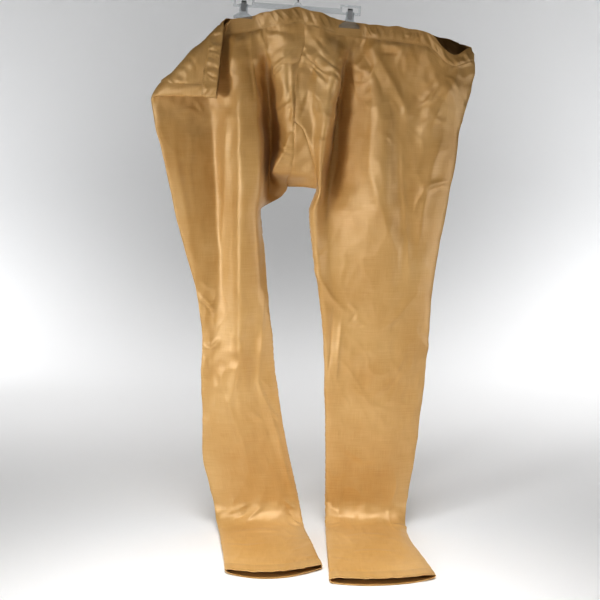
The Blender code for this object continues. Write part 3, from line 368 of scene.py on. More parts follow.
# Creases, each given one by one: height (+ a ridge, - a trough), width, lee (a soft hollow beside it,
# + on the right of its run, - on the left) and the points it runs through, across and up in the front view.
leftCreases = {
    "ridgeCrest": (2.0, 9, 0.6, ((-98, -170), (-101, -242), (-103, -330), (-104, -428), (-105, -560),
                                 (-106, -722), (-124, -800), (-141, -856))),
    "ridgeFork": (1.6, 7, -0.5, ((-118, -255), (-128, -330), (-132, -420), (-140, -520))),
    "hollowEdge": (-2.2, 12, 0, ((-155, -251), (-152, -340), (-149, -428), (-143, -540), (-138, -638))),
    "outerPull": (2.2, 12, 0.5, ((-215, -262), (-222, -330), (-205, -430), (-190, -520))),
    "outerPullShort": (1.2, 6, 0.4, ((-190, -300), (-196, -370), (-184, -470))),
    "kneeOuterA": (2.6, 6, 0.7, ((-182, -598), (-168, -612), (-152, -634))),
    "kneeOuterB": (-1.8, 4, 0, ((-178, -610), (-166, -622), (-154, -642))),
    "kneeOuterC": (1.8, 4.5, -0.6, ((-176, -694), (-158, -700), (-139, -681))),
    "kneeOuterD": (1.3, 4, 0.5, ((-180, -575), (-166, -585), (-150, -588))),
    "innerStrip": (1.6, 6, 0.8, ((-62, -560), (-64, -640), (-68, -700), (-73, -760), (-63, -789), (-48, -830),
                                   (-36, -870), (-22, -930), (-8, -985))),
    "kneeInnerA": (2.4, 5, 0.6, ((-70, -752), (-58, -764), (-44, -783))),
    "kneeInnerB": (-2.0, 4, 0, ((-68, -778), (-54, -790), (-40, -800))),
    "kneeInnerC": (2.2, 4.5, -0.6, ((-62, -800), (-50, -814), (-34, -836))),
    "kneeInnerD": (1.5, 4, 0.5, ((-95, -800), (-80, -822), (-60, -838))),
    "calfSweepA": (1.4, 8, 0.5, ((-150, -700), (-132, -790), (-100, -880), (-86, -960))),
    "calfSweepB": (1.1, 7, -0.4, ((-112, -640), (-96, -730), (-92, -800))),
    "shinSlant": (2.0, 4.5, 0.7, ((-147, -1018), (-128, -1016), (-109, -1008), (-86, -994))),
    "shinSlantDark": (-1.8, 4, 0, ((-120, -1034), (-104, -1026), (-90, -1010))),
    "shinThin": (1.6, 3.5, 0.5, ((-101, -1046), (-84, -1024), (-64, -1000))),
    "ankleA": (1.8, 4, 0.6, ((-30, -985), (-14, -1002), (2, -1012))),
    "ankleB": (-1.6, 4, 0, ((-26, -1004), (-10, -1022), (6, -1030))),
    "ankleC": (1.6, 4, 0.5, ((-18, -1028), (-4, -1044), (10, -1052))),
    "footA": (1.2, 6, 0.4, ((-120, -1090), (-80, -1080), (-30, -1085))),
    "footB": (1.0, 5, -0.4, ((-130, -1140), (-90, -1150), (-50, -1140))),
    "clipPullA": (2.4, 8, 0.5, ((-104, -130), (-112, -165), (-116, -205), (-112, -250))),
    "clipPullB": (-2.6, 9, 0, ((-92, -132), (-84, -175), (-76, -240), (-66, -320))),
    "clipPullC": (2.4, 9, 0.5, ((-80, -128), (-60, -150), (-40, -190), (-30, -240))),
    "byClip": (1.6, 3.5, 0.5, ((-113, -157), (-101, -152), (-90, -142))),
    "waistCurve": (-2.4, 6, 0, ((-80, -122), (-50, -130), (-23, -134), (2, -138))),
    "seamRidge": (2.2, 4, 0.6, ((-6, -236), (-5, -262), (-8, -286), (-12, -300))),
    "seamFold": (1.8, 5, 0.4, ((-16, -150), (-12, -200), (-10, -240), (-6, -290))),
    "seamDark": (-2.2, 3.5, 0, ((-2, -205), (-2, -233), (-5, -284))),
    "recessDark": (-2.0, 7, 0, ((-84, -148), (-72, -200), (-63, -250), (-56, -330))),
    "recessEdge": (2.0, 7, 0, ((-75, -180), (-73, -240), (-71, -330), (-71, -425))),
    "turnedFold": (2.0, 5, 0.6, ((-9, -302), (-24, -342), (-42, -372))),
    "recessRidge": (2, 9, 0.5, ((-40, -150), (-38, -220), (-30, -290), (-28, -330))),
    "gussetPullA": (1.6, 3, 0.5, ((-39, -325), (-24, -334), (-9, -339))),
    "gussetPullB": (1.5, 3, 0.5, ((-38, -343), (-22, -348), (-9, -353))),
    "gussetPullC": (1.4, 3, 0.5, ((-34, -362), (-20, -365), (-9, -366))),
    "underFlap": (1.5, 3, 0.5, ((-185, -247), (-168, -273))),
}
rightCreases = {
    "seamDark": (-2.2, 3.5, 0, ((21, -228), (12, -260), (3, -284))),
    "facetEdge": (2.6, 9, 0.5, ((39, -124), (52, -150), (30, -176), (13, -186))),
    "facetTrough": (-3, 9, 0, ((65, -132), (46, -155), (30, -182), (14, -233))),
    "panelRidge": (2, 10, 0.5, ((20, -170), (34, -215), (32, -262), (24, -300))),
    "gussetSide": (1.5, 4, 0.5, ((30, -318), (40, -322), (50, -320))),
    "crest": (3.2, 9, -0.2, ((82, -140), (70, -182), (61, -240), (56, -300), (48, -392))),
    "panelLift": (2.8, 24, 0, ((68, -150), (62, -200), (56, -260), (50, -330))),
    "valleyDeep": (-2.5, 7, 0, ((90, -150), (82, -200), (74, -268), (70, -357), (54, -440))),
    "softRidge": (2.0, 11, 0.4, ((128, -190), (131, -251), (129, -374), (148, -440),
                                  (160, -480), (190, -550))),
    "clipFold": (3, 11, 0.7, ((112, -134), (128, -160), (144, -185), (168, -225), (189, -268), (200, -310))),
    "clipFoldDark": (-2.4, 10, 0, ((100, -140), (118, -178), (140, -215), (158, -260))),
    "facetBright": (2.6, 7, 0.8, ((146, -156), (160, -158), (178, -158))),
    "facetShadow": (-2.0, 4, 0, ((140, -170), (160, -170), (184, -168))),
    "waistStand": (1.6, 4, 0.6, ((187, -168), (189, -205))),
    "clipShort": (1.5, 3.5, 0.5, ((138, -183), (125, -215))),
    "cornerCurve": (2.4, 7, 0.6, ((236, -200), (245, -226), (232, -251), (200, -270))),
    "cornerArc": (1.5, 4, 0.5, ((252, -211), (268, -214), (279, -235))),
    "cornerPull": (2.4, 11, 0.5, ((290, -190), (268, -220), (240, -280), (226, -340))),
    "hipCrease": (2.2, 7, 0.6, ((205, -462), (212, -430), (228, -402), (252, -396), (274, -397))),
    "hipSweepA": (1.6, 9, 0.5, ((262, -290), (240, -360), (222, -450), (214, -540))),
    "hipSweepB": (1.3, 8, -0.5, ((180, -300), (186, -400), (196, -500), (200, -600))),
    "innerSlant": (2.2, 6, 0.7, ((22, -536), (40, -570), (58, -601), (92, -636))),
    "innerValley": (-2.2, 6, 0, ((67, -606), (62, -660), (59, -710), (54, -758))),
    "innerRidge": (1.6, 5, 0.4, ((80, -640), (74, -700), (70, -760))),
    "kneeHookA": (1.6, 3.5, 0.5, ((92, -614), (106, -628))),
    "kneeHookB": (-1.4, 3.5, 0, ((107, -630), (94, -648))),
    "kneeLevel": (1.5, 3.5, 0.5, ((84, -651), (104, -653), (124, -650))),
    "thighSlant": (1.2, 6, 0.4, ((220, -590), (180, -640), (140, -670))),
    "calfSlantA": (1.0, 6, 0.4, ((90, -760), (130, -800), (180, -820))),
    "calfSlantB": (1.0, 6, -0.4, ((200, -700), (170, -760), (120, -800))),
    "calfSlantC": (0.9, 6, 0.4, ((80, -880), (120, -910), (170, -905))),
    "shinA": (1.4, 4.5, 0.5, ((50, -1000), (62, -1008), (78, -1022))),
    "shinB": (-1.3, 4, 0, ((50, -1016), (64, -1024), (80, -1034))),
    "shinC": (1.4, 4, 0.5, ((52, -1052), (64, -1054), (80, -1048))),
    "ankleOuter": (2.0, 5, 0.5, ((206, -1046), (190, -1052), (170, -1050))),
    "footA": (1.1, 6, 0.4, ((80, -1110), (120, -1100), (170, -1106))),
    "footB": (0.9, 5, -0.4, ((90, -1180), (130, -1170), (180, -1176))),
}
flapCreases = {
    "tipA": (2.2, 5, 0.6, ((-201, -196), (-190, -211))),
    "tipB": (2.0, 5, 0.6, ((-209, -213), (-200, -228))),
    "lowEdge": (2.6, 5, 0.8, ((-226, -232), (-190, -229), (-160, -228), (-132, -226))),
    "lowEdgeDark": (-1.4, 3, 0, ((-210, -222), (-170, -219), (-135, -216))),
    "acrossA": (2.0, 7, 0.5, ((-160, -150), (-176, -180), (-190, -214))),
    "acrossB": (1.8, 6, -0.5, ((-140, -150), (-146, -190), (-150, -218))),
}
backLeftCreases = {
    "seatPullA": (1.8, 6, 0.5, ((-96, -140), (-90, -190), (-78, -250), (-64, -320))),
    "seatPullB": (-1.8, 7, 0, ((-60, -150), (-58, -220), (-50, -300))),
    "hipSweep": (1.6, 8, 0.5, ((-130, -300), (-150, -380), (-164, -470), (-150, -560))),
    "hipShort": (1.4, 5, -0.5, ((-200, -330), (-186, -380), (-176, -440))),
    "thighA": (1.5, 5, 0.5, ((-90, -470), (-104, -540), (-110, -610))),
    "thighB": (-1.4, 6, 0, ((-140, -520), (-132, -600), (-136, -680))),
    "kneeA": (1.8, 4.5, 0.6, ((-170, -640), (-150, -656), (-128, -650))),
    "kneeB": (-1.5, 4, 0, ((-166, -664), (-146, -676), (-126, -668))),
    "kneeC": (1.6, 4.5, -0.5, ((-66, -720), (-84, -742), (-104, -740))),
    "calfA": (1.2, 7, 0.4, ((-150, -760), (-120, -830), (-104, -900))),
    "calfB": (1.2, 5, 0.4, ((-60, -860), (-86, -890), (-112, -892))),
    "heelA": (1.8, 5, 0.6, ((-140, -1000), (-110, -1012), (-70, -1004))),
    "heelB": (-1.5, 5, 0, ((-130, -1024), (-96, -1032), (-50, -1022))),
}
backRightCreases = {
    "seatPullA": (1.8, 6, 0.5, ((92, -146), (84, -200), (70, -260), (56, -330))),
    "seatPullB": (-1.8, 7, 0, ((48, -150), (50, -220), (46, -300))),
    "cornerPull": (1.6, 7, 0.5, ((286, -200), (250, -250), (226, -320), (214, -400))),
    "cornerShort": (1.4, 5, -0.5, ((240, -190), (226, -220), (220, -262))),
    "hipSweep": (1.6, 8, 0.5, ((150, -240), (160, -340), (176, -440), (170, -540))),
    "thighA": (1.5, 5, 0.5, ((80, -470), (96, -540), (100, -610))),
    "thighB": (-1.4, 6, 0, ((180, -500), (170, -590), (176, -680))),
    "kneeA": (1.8, 4.5, 0.6, ((216, -660), (190, -676), (164, -668))),
    "kneeB": (-1.5, 4, 0, ((210, -690), (186, -700), (160, -692))),
    "kneeC": (1.6, 4.5, -0.5, ((62, -700), (84, -722), (108, -718))),
    "calfA": (1.2, 7, 0.4, ((190, -760), (160, -830), (140, -900))),
    "calfB": (1.2, 5, 0.4, ((68, -860), (96, -884), (130, -888))),
    "heelA": (1.8, 5, 0.6, ((190, -1000), (150, -1012), (90, -1004))),
    "heelB": (-1.5, 5, 0, ((180, -1024), (130, -1032), (76, -1022))),
}


# A crease's section and ends, in widths unless a name says share
creaseForm = {"top": 0.3, "side": 0.62, "leeShare": 0.45, "leeAt": 1.9, "leeWidth": 1.3, "endShare": 0.45,
              "endWidths": 4.0, "endSlope": 0.15, "overrun": 0.5, "swellShare": 0.18, "swellWidths": 2.3,
              "swellTurn": 7.0}


def nearRun(across, up, run):
    # Each point's distance from a run, the same with a side, and how far along it lies; and the run's length
    steps = np.linalg.norm(np.diff(run, axis=0), axis=1)
    starts = np.concatenate(([0.0], np.cumsum(steps)))
    near = np.full(across.shape, 1e9)
    offset = np.zeros(across.shape)
    along = np.zeros(across.shape)
    for k, step in enumerate(steps):
        way = (run[k + 1] - run[k]) / step
        x = across - run[k][0]
        z = up - run[k][1]
        t = x * way[0] + z * way[1]
        inside = np.clip(t, 0.0, step)
        distance = np.hypot(x - inside * way[0], z - inside * way[1])
        closer = distance < near
        near = np.where(closer, distance, near)
        offset = np.where(closer, np.copysign(distance, x * way[1] - z * way[0]), offset)
        along = np.where(closer, starts[k] + t, along)
    return near, offset, along, starts[-1]


def creaseHeights(across, up, table):
    form = creaseForm
    total = np.zeros(across.shape)
    for height, width, lee, run in table.values():
        near, offset, along, length = nearRun(across, up, np.array(run, float))
        top = form["top"] * width
        crest = np.exp(-(np.hypot(near, top) - top) / (form["side"] * width))
        if lee:
            beside = (offset - math.copysign(form["leeAt"] * width, lee)) / (form["leeWidth"] * width)
            crest = crest - form["leeShare"] * np.exp(-beside ** 2) * abs(lee)
        fade = min(form["endShare"] * length, form["endWidths"] * width + form["endSlope"] * length)
        over = form["overrun"] * width
        ends = smooth((along + over) / fade) * smooth((length + over - along) / fade)
        turn = along / (form["swellWidths"] * width) + height * form["swellTurn"]
        swell = 1.0 + form["swellShare"] * np.sin(turn)
        total += height * crest * ends * swell
    return total


def unevenness(points, size, seed, stretch=(1.0, 1.0, 1.0)):
    # Soft waves in the cloth, -1 to 1, the same each run
    flat = points.reshape(-1, 3)
    result = np.empty(len(flat))
    sx, sy, sz = (1.0 / (size * s) for s in stretch)
    for index, (x, y, z) in enumerate(flat):
        result[index] = noise.noise((x * sx + seed, y * sy, z * sz))
    return result.reshape(points.shape[:-1])


crumpleForm = {"bendSize": 1.7, "bendSeed": 5.0, "bend": 0.35, "down": -0.6, "steep": 2.6, "lowest": -0.6,
               "height": 1.1, "sunk": 0.25}
facetForm = {"bendSize": 1.9, "bendSeed": 2.0, "bend": 0.4, "down": 0.7, "slope": 1.7, "roundness": 0.035,
             "top": 0.45}


def bentLines(points, size, seed, form):
    # The points moved a little, so that no crest runs straight
    bend = unevenness(points, size * form["bendSize"], seed + form["bendSeed"]) * form["bend"] * size
    return points + np.stack([bend, 0 * bend, form["down"] * bend], -1)


def crumples(points, size, seed, stretch):
    # Thin crests between soft dents, as handled satin keeps them
    form = crumpleForm
    crest = 1.0 - np.abs(unevenness(bentLines(points, size, seed, form), size, seed, stretch)) * form["steep"]
    return np.clip(crest, form["lowest"], 1.0) ** 3 * form["height"] - form["sunk"]


def facets(points, size, seed, stretch):
    # Flat slants that meet along crests, as stiff satin breaks when it is handled
    wave = unevenness(bentLines(points, size, seed, facetForm), size, seed, stretch)
    return facetForm["top"] - facetForm["slope"] * np.hypot(wave, facetForm["roundness"])


# what the clips hold: the middle of each jaw and its lower edge
clipHold = {"left": (-94.0, -122.0), "right": (91.0, -129.0), "halfWidth": 19.0, "fade": 16.0}


def heldFlat(points):
    # 0 where a clip holds the cloth, 1 where it is free
    hold = np.ones(points.shape[:-1])
    for side in ("left", "right"):
        centre, bottom = clipHold[side]
        beside = np.maximum(np.abs(points[..., 0] - centre) - clipHold["halfWidth"], 0.0)
        gap = np.hypot(beside, np.maximum(bottom - points[..., 2], 0.0))
        hold = np.minimum(hold, smooth(gap / clipHold["fade"]))
    return hold


# Finishes

def newMaterial(name):
    material = bpy.data.materials.new(name)
    material.use_nodes = True
    return material, material.node_tree, material.node_tree.nodes["Principled BSDF"]


def addNode(tree, kind, place, **settings):
    node = tree.nodes.new(kind)
    node.location = place
    for name, value in settings.items():
        if name in node.inputs:
            node.inputs[name].default_value = value
        else:
            setattr(node, name, value)
    return node


def setSockets(node, values):
    for name, value in values.items():
        node.inputs[name].default_value = value


def addFed(tree, kind, place, vector, **settings):
    node = addNode(tree, kind, place, **settings)
    tree.links.new(vector, node.inputs["Vector"])
    return node


def spread(tree, place, value, low, high, start=0.0, end=1.0, ease="LINEAR"):
    # Turns a value that runs from start to end into one from low to high
    node = addNode(tree, "ShaderNodeMapRange", place, interpolation_type=ease)
    setSockets(node, {"From Min": start, "From Max": end, "To Min": low, "To Max": high})
    tree.links.new(value, node.inputs["Value"])
    return node.outputs["Result"]


def multiply(tree, place, value, factor, plus=None):
    # The factor is a number or another node's output
    node = addNode(tree, "ShaderNodeMath", place, operation="MULTIPLY" if plus is None else "MULTIPLY_ADD")
    tree.links.new(value, node.inputs[0])
    if isinstance(factor, float):
        node.inputs[1].default_value = factor
    else:
        tree.links.new(factor, node.inputs[1])
    if plus is not None:
        tree.links.new(plus, node.inputs[2])
    return node.outputs[0]


def colourBetween(tree, place, value, dark, light, darkAt=0.0, lightAt=1.0):
    ramp = addNode(tree, "ShaderNodeValToRGB", place)
    for stop, at, colour in zip(ramp.color_ramp.elements, (darkAt, lightAt), (dark, light)):
        stop.position = at
        stop.color = (*colour, 1)
    tree.links.new(value, ramp.inputs["Fac"])
    return ramp.outputs["Color"]


# Scales are per metre of cloth, heights in metres
satinFinish = {
    "light": (0.66, 0.443, 0.198), "dark": (0.53, 0.304, 0.096), "lightAt": 0.64, "darkAt": 0.36,
    "slub": (22.0, 780.0, 1.0), "slubShare": 0.55, "warp": (1500.0, 30.0, 1.0), "cloud": 7.0,
    "cloudShare": 0.5, "smoothest": 0.39, "roughest": 0.55, "weaveHeight": 0.0006, "weaveStrength": 0.3,
    "crinkle": 26.0, "crinkleHeight": 0.009, "crinkleStrength": 0.8, "patches": 6.5, "patchFrom": 0.42,
    "patchFull": 0.66, "waistFull": 0.05, "waistEnd": 0.22, "belowWaist": 0.28}
satinSheen = {"Sheen Weight": 0.24, "Sheen Roughness": 0.35, "Sheen Tint": (1.0, 0.90, 0.72, 1),
              "Metallic": 0.12, "Anisotropic": 0.45, "Specular IOR Level": 0.95}


def makeSatin(name, look, shade=1.0):
    material, tree, shader = newMaterial(name)
    cloth = addNode(tree, "ShaderNodeUVMap", (-1500, 0), uv_map="cloth").outputs["UV"]
    # slubs run across the cloth, long across and short down, and fine warp runs down it
    across = addFed(tree, "ShaderNodeMapping", (-1300, 200), cloth, Scale=look["slub"]).outputs["Vector"]
    slub = addFed(tree, "ShaderNodeTexNoise", (-1100, 200), across, Scale=1.0, Detail=3.0, Roughness=0.6)
    down = addFed(tree, "ShaderNodeMapping", (-1300, -50), cloth, Scale=look["warp"]).outputs["Vector"]
    warp = addFed(tree, "ShaderNodeTexNoise", (-1100, -50), down, Scale=1.0, Detail=2.0, Roughness=0.5)
    warpPart = multiply(tree, (-880, -120), warp.outputs["Fac"], 1.0 - look["slubShare"])
    weave = multiply(tree, (-880, 80), slub.outputs["Fac"], look["slubShare"], warpPart)
    cloud = addFed(tree, "ShaderNodeTexNoise", (-1100, -300), cloth, Scale=look["cloud"], Detail=3.0,
                   Roughness=0.55)
    weavePart = multiply(tree, (-680, 60), weave, 1.0 - look["cloudShare"])
    tone = multiply(tree, (-680, -120), cloud.outputs["Fac"], look["cloudShare"], weavePart)
    dark, light = ([part * shade for part in look[end]] for end in ("dark", "light"))
    colour = colourBetween(tree, (-460, 100), tone, dark, light, look["darkAt"], look["lightAt"])
    tree.links.new(colour, shader.inputs["Base Color"])
    rough = spread(tree, (-460, -160), weave, look["smoothest"], look["roughest"])
    tree.links.new(rough, shader.inputs["Roughness"])
    # short sharp crinkles in patches, most of them in the first hand's breadth under the waist
    crinkle = addFed(tree, "ShaderNodeTexNoise", (-1100, -560), cloth, noise_type="RIDGED_MULTIFRACTAL",
                     Scale=look["crinkle"], Detail=1.6, Roughness=0.45, Lacunarity=2.3, Distortion=0.7)
    patches = addFed(tree, "ShaderNodeTexNoise", (-1100, -820), cloth, Scale=look["patches"], Detail=1.0)
    kept = spread(tree, (-880, -820), patches.outputs["Fac"], 0.0, 1.0, look["patchFrom"], look["patchFull"])
    fromWaist = addFed(tree, "ShaderNodeSeparateXYZ", (-1300, -1040), cloth).outputs["Y"]
    byWaist = spread(tree, (-1100, -1040), fromWaist, 1.0, look["belowWaist"], look["waistFull"],
                     look["waistEnd"], "SMOOTHSTEP")
    share = multiply(tree, (-680, -820), kept, byWaist)
    raised = multiply(tree, (-460, -620), crinkle.outputs["Fac"], share)
    fold = addNode(tree, "ShaderNodeBump", (-300, -620), Strength=look["crinkleStrength"],
                   Distance=look["crinkleHeight"])
    tree.links.new(raised, fold.inputs["Height"])
    bump = addNode(tree, "ShaderNodeBump", (-220, -300), Strength=look["weaveStrength"],
                   Distance=look["weaveHeight"])
    tree.links.new(weave, bump.inputs["Height"])
    tree.links.new(fold.outputs["Normal"], bump.inputs["Normal"])
    tree.links.new(bump.outputs["Normal"], shader.inputs["Normal"])
    setSockets(shader, satinSheen)
    return material


# Plain finishes: colour, and roughness where two are given, follow one noise of so many grains a metre
threadFinish = {"grains": 900.0, "detail": 2.0, "dark": (0.36, 0.21, 0.075), "light": (0.52, 0.33, 0.13),
                "sockets": {"Roughness": 0.55, "Sheen Weight": 0.2}}
plasticFinish = {"grains": 160.0, "detail": 4.0, "dark": (0.84, 0.87, 0.89), "light": (0.93, 0.95, 0.96),
                 "roughness": (0.10, 0.26), "sockets": {"Transmission Weight": 0.88, "IOR": 1.49}}
steelFinish = {"grains": 420.0, "detail": 3.0, "dark": (0.40, 0.41, 0.43), "light": (0.58, 0.60, 0.62),
               "roughness": (0.20, 0.38), "sockets": {"Metallic": 1.0}}
paperFinish = {"grains": 0.8, "detail": 2.0, "dark": (0.80, 0.81, 0.83), "light": (0.88, 0.89, 0.90),
               "sockets": {"Roughness": 0.8}}


def makePlain(name, look):
    material, tree, shader = newMaterial(name)
    grains = addNode(tree, "ShaderNodeTexNoise", (-600, 0), Scale=look["grains"], Detail=look["detail"])
    grain = grains.outputs["Fac"]
    colour = colourBetween(tree, (-380, 260), grain, look["dark"], look["light"])
    tree.links.new(colour, shader.inputs["Base Color"])
    if "roughness" in look:
        tree.links.new(spread(tree, (-380, 0), grain, *look["roughness"]), shader.inputs["Roughness"])
    setSockets(shader, look["sockets"])
    return material


satin = makeSatin("goldenSatin", satinFinish)
satinTurned = makeSatin("goldenSatinTurned", satinFinish, 0.94)
thread = makePlain("sewingThread", threadFinish)
clearPlastic = makePlain("clearPlastic", plasticFinish)
springSteel = makePlain("springSteel", steelFinish)
print("finishes made")


# Making the pieces

def shell(name, points, thickness, material, leg, closed=False):
    # A thin two-sided cloth from a grid of points in millimetres
    rows, columns = points.shape[:2]
    row = np.arange(rows - 1)[:, None]
    column = np.arange(columns if closed else columns - 1)[None, :]
    after = (column + 1) % columns
    upper, lower = row * columns, (row + 1) * columns
    corners = np.stack([upper + column, upper + after, lower + after, lower + column], -1)
    # cloth coordinates in metres: across the panel and down it
    across = alongRows(points)
    if closed:
        across = np.concatenate([across, across[:, -1:] + across[:, 1:2]], 1)
    middle = across.shape[1] // 2
    across = across - across[:, middle:middle + 1]
    drops = np.concatenate([[0.0], np.cumsum(np.linalg.norm(np.diff(points, axis=0), axis=-1).mean(1))])
    wide = np.stack([across, np.repeat(drops[:, None], across.shape[1], 1)], -1) * mm
    uv = np.stack([wide[row, column], wide[row, column + 1],
                   wide[row + 1, column + 1], wide[row + 1, column]], 2)
    if leg == "right":
        corners = corners[..., ::-1]
        uv = uv[:, :, ::-1]
    mesh = bpy.data.meshes.new(name)
    mesh.from_pydata((points.reshape(-1, 3) * mm).tolist(), [], corners.reshape(-1, 4).tolist())
    mesh.uv_layers.new(name="cloth").data.foreach_set("uv", uv.reshape(-1).astype(np.float32))
    mesh.materials.append(material)
    mesh.shade_smooth()
    # cut edges stay crisp
    edgeOfCorner = np.empty(len(mesh.loops), int)
    mesh.loops.foreach_get("edge_index", edgeOfCorner)
    uses = np.bincount(edgeOfCorner, minlength=len(mesh.edges))
    mesh.attributes.new("sharp_edge", "BOOLEAN", "EDGE").data.foreach_set("value", uses == 1)
    piece = bpy.data.objects.new(name, mesh)
    bpy.context.scene.collection.objects.link(piece)
    thick = piece.modifiers.new("thickness", "SOLIDIFY")
    thick.thickness = thickness * mm
    thick.offset = 0.0
    thick.use_even_offset = False
    return piece


def meetNeighbours(points, reach=0.35):
    # The first and last column run on a hair past the seam
    for end, beside in ((0, 1), (-1, -2)):
        way = points[:, end] - points[:, beside]
        points[:, end] += way / np.maximum(np.linalg.norm(way, axis=-1, keepdims=True), 1e-6) * reach
    return points


def clothArea(points, closed=False):
    # Square metres
    grid = np.concatenate([points, points[:, :1]], 1) if closed else points
    a = grid[1:, :-1] - grid[:-1, :-1]
    b = grid[:-1, 1:] - grid[:-1, :-1]
    return np.linalg.norm(np.cross(a, b), axis=-1).sum() * mm * mm


puckerForm = {"wander": 1.7, "wanderLength": 2.9, "shortShare": 0.6, "shortLength": 0.57, "swell": 0.45,
              "swellLength": 5.1}


def puckers(distance, along, reach, height, spacing, seed):
    # Short uneven ripples that run out from a row of stitches
    form = puckerForm
    turn = along * 2 * math.pi / spacing
    wave = np.sin(turn + form["wander"] * np.sin(along / (form["wanderLength"] * spacing) + seed) + seed)
    wave += form["shortShare"] * np.sin(turn / form["shortLength"] + 2.3 * seed)
    swell = 1.0 - form["swell"] + form["swell"] * np.sin(along / (form["swellLength"] * spacing) + seed * 3)
    return height * wave * np.exp(-(distance / reach) ** 2) * swell


panelLook = {
    "thickness": 0.8, "spacing": 3.3, "rows": 3.25, "backSpacing": 3.8, "backRows": 3.8, "seamGap": 0.6,
    "tuck": 0.3, "tuckReach": 2.6, "seamFade": 3.5, "casingFade": 7.0, "hemFade": 8.0, "creases": 1.5,
    "pressedOnGround": 0.4}
# how high the marks of handling stand, and how much of that shows everywhere, in patches, by the waist
# and at the knees and ankles
marks = {"swells": 1.2, "dimples": 0.35, "crumples": 0.8, "waistCrumples": 0.5, "facets": 4.8,
         "smallFacets": 0.36,
         "crumpleShares": {"everywhere": 0.25, "patches": 0.75, "joints": 0.35},
         "facetShares": {"everywhere": 0.30, "waist": 0.75, "joints": 0.25}}
# how large they are, what is added to the seed, and how they stretch across, through and down
markSizes = {"swells": (52.0, 0.0, (1.0, 1.0, 1.8)), "dimples": (17.0, 7.0, (1.0, 1.0, 1.2)),
             "patches": (130.0, 3.0, (1.0, 1.0, 1.2)), "crumples": (44.0, 1.0, (1.0, 1.0, 1.5)),
             "facets": (58.0, 6.0, (0.8, 1.0, 1.5)), "smallFacets": (25.0, 9.0, (0.8, 1.0, 1.4))}
# where the cloth is worked more, by level: the middle or the start, and the reach
worn = {"knee": (745.0, 70.0), "ankle": (1015.0, 45.0), "gathered": (130.0, 110.0), "waist": (180.0, 190.0),
        "ground": (1030.0, 40.0)}
# puckers along a panel's edges: reach, height, spacing, added to the seed
edgePuckers = {"start": (9.0, 0.45, 13.0, 0.0), "end": (9.0, 0.45, 14.5, 2.0),
               "casing": (14.0, 0.4, 15.0, 4.0), "hem": (10.0, 0.4, 13.0, 5.0)}


def reached(level, place):
    start, reach = worn[place]
    return smooth((level - start) / reach)


def around(level, place):
    middle, reach = worn[place]
    return np.exp(-((level - middle) / reach) ** 2)


def mark(kind, name, cloth, seed):
    size, more, stretch = markSizes[name]
    return kind(cloth, size, seed + more, stretch)


def handling(cloth, level, seed):
    # The marks of wear and handling on a whole panel, in millimetres
    height = marks["swells"] * mark(unevenness, "swells", cloth, seed)
    height += marks["dimples"] * mark(unevenness, "dimples", cloth, seed)
    joints = around(level, "knee") + around(level, "ankle")
    share = marks["crumpleShares"]
    patches = 0.5 + 0.5 * mark(unevenness, "patches", cloth, seed)
    strength = share["everywhere"] + share["patches"] * patches + share["joints"] * joints
    strength = strength * marks["crumples"] + marks["waistCrumples"] * (1.0 - reached(level, "gathered"))
    height += strength * mark(crumples, "crumples", cloth, seed)
    share = marks["facetShares"]
    byWaist = 1.0 - reached(level, "waist")
    strength = share["everywhere"] + share["waist"] * byWaist + share["joints"] * joints
    strength = strength * marks["facets"]
    height += strength * mark(facets, "facets", cloth, seed)
    return height + marks["smallFacets"] * strength * mark(facets, "smallFacets", cloth, seed)


def panel(name, node, leg, first, last, spacing, rowSpacing, creases, flat, area, seed):
    top = hang["waist"] + hang["casing"] - panelLook["seamGap"]
    bottom = legs[leg]["hem"] - hang["hem"] + panelLook["seamGap"]
    places = placesBetween(leg, first, last, spacing)
    levels = levelsBetween(top, bottom, rowSpacing)
    points = clothGrid(leg, places, levels)
    normal = outwards(points, leg)
    # the same cloth before it bends at the ground, which the creases are placed on
    across, depth = np.moveaxis(sections(leg, levels, places), -1, 0)
    level = trueLevels(leg, across, depth, levels)
    height = creaseHeights(across, -level, creases)
    if name == "backLeft":
        turned = smooth((flap["frontFrom"] - points[..., 1]) / flap["frontFade"])
        turned = turned * (points[..., 2] > flap["lowest"])
        height = height * (1 - turned) + creaseHeights(points[..., 0], points[..., 2], flapCreases) * turned
    onGround = reached(level, "ground")
    handled = handling(np.stack([across, 0.0 * level, -level], -1), level, seed)
    height = height * panelLook["creases"] + handled * (1 - panelLook["pressedOnGround"] * onGround)
    # nothing stands up along the seams and where the clips hold, and the cloth turns in a little at its sides
    fromStart = alongRows(points)
    fromEnd = fromStart[:, -1:] - fromStart
    side = np.minimum(fromStart, fromEnd)
    fromTop = levels[:, None] - levels[0]
    fromHem = levels[-1] - levels[:, None]
    edge = smooth(side / panelLook["seamFade"]) * smooth(fromTop / panelLook["casingFade"])
    edge = edge * smooth(fromHem / panelLook["hemFade"])
    tuck = -panelLook["tuck"] * np.exp(-(side / panelLook["tuckReach"]) ** 2)
    ripple = 0.0
    for place, distance, along in (("start", fromStart, level), ("end", fromEnd, level),
                                   ("casing", fromTop, across), ("hem", fromHem, across)):
        reach, tall, gap, more = edgePuckers[place]
        ripple = ripple + puckers(distance, along, reach, tall, gap, seed + more)
    free = heldFlat(points)
    # the back panels lie flat on the ground
    lying = onGround if name.startswith("back") else 0.0
    points = points + normal * ((height * free * edge + tuck + ripple * free) * (1 - lying))[..., None]
    points = meetNeighbours(points)
    piece = shell(name, points, panelLook["thickness"], satin, leg)
    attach(piece, "root")
    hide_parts(node)
    print(name, "area", round(clothArea(points), 4), "m2", points.shape)


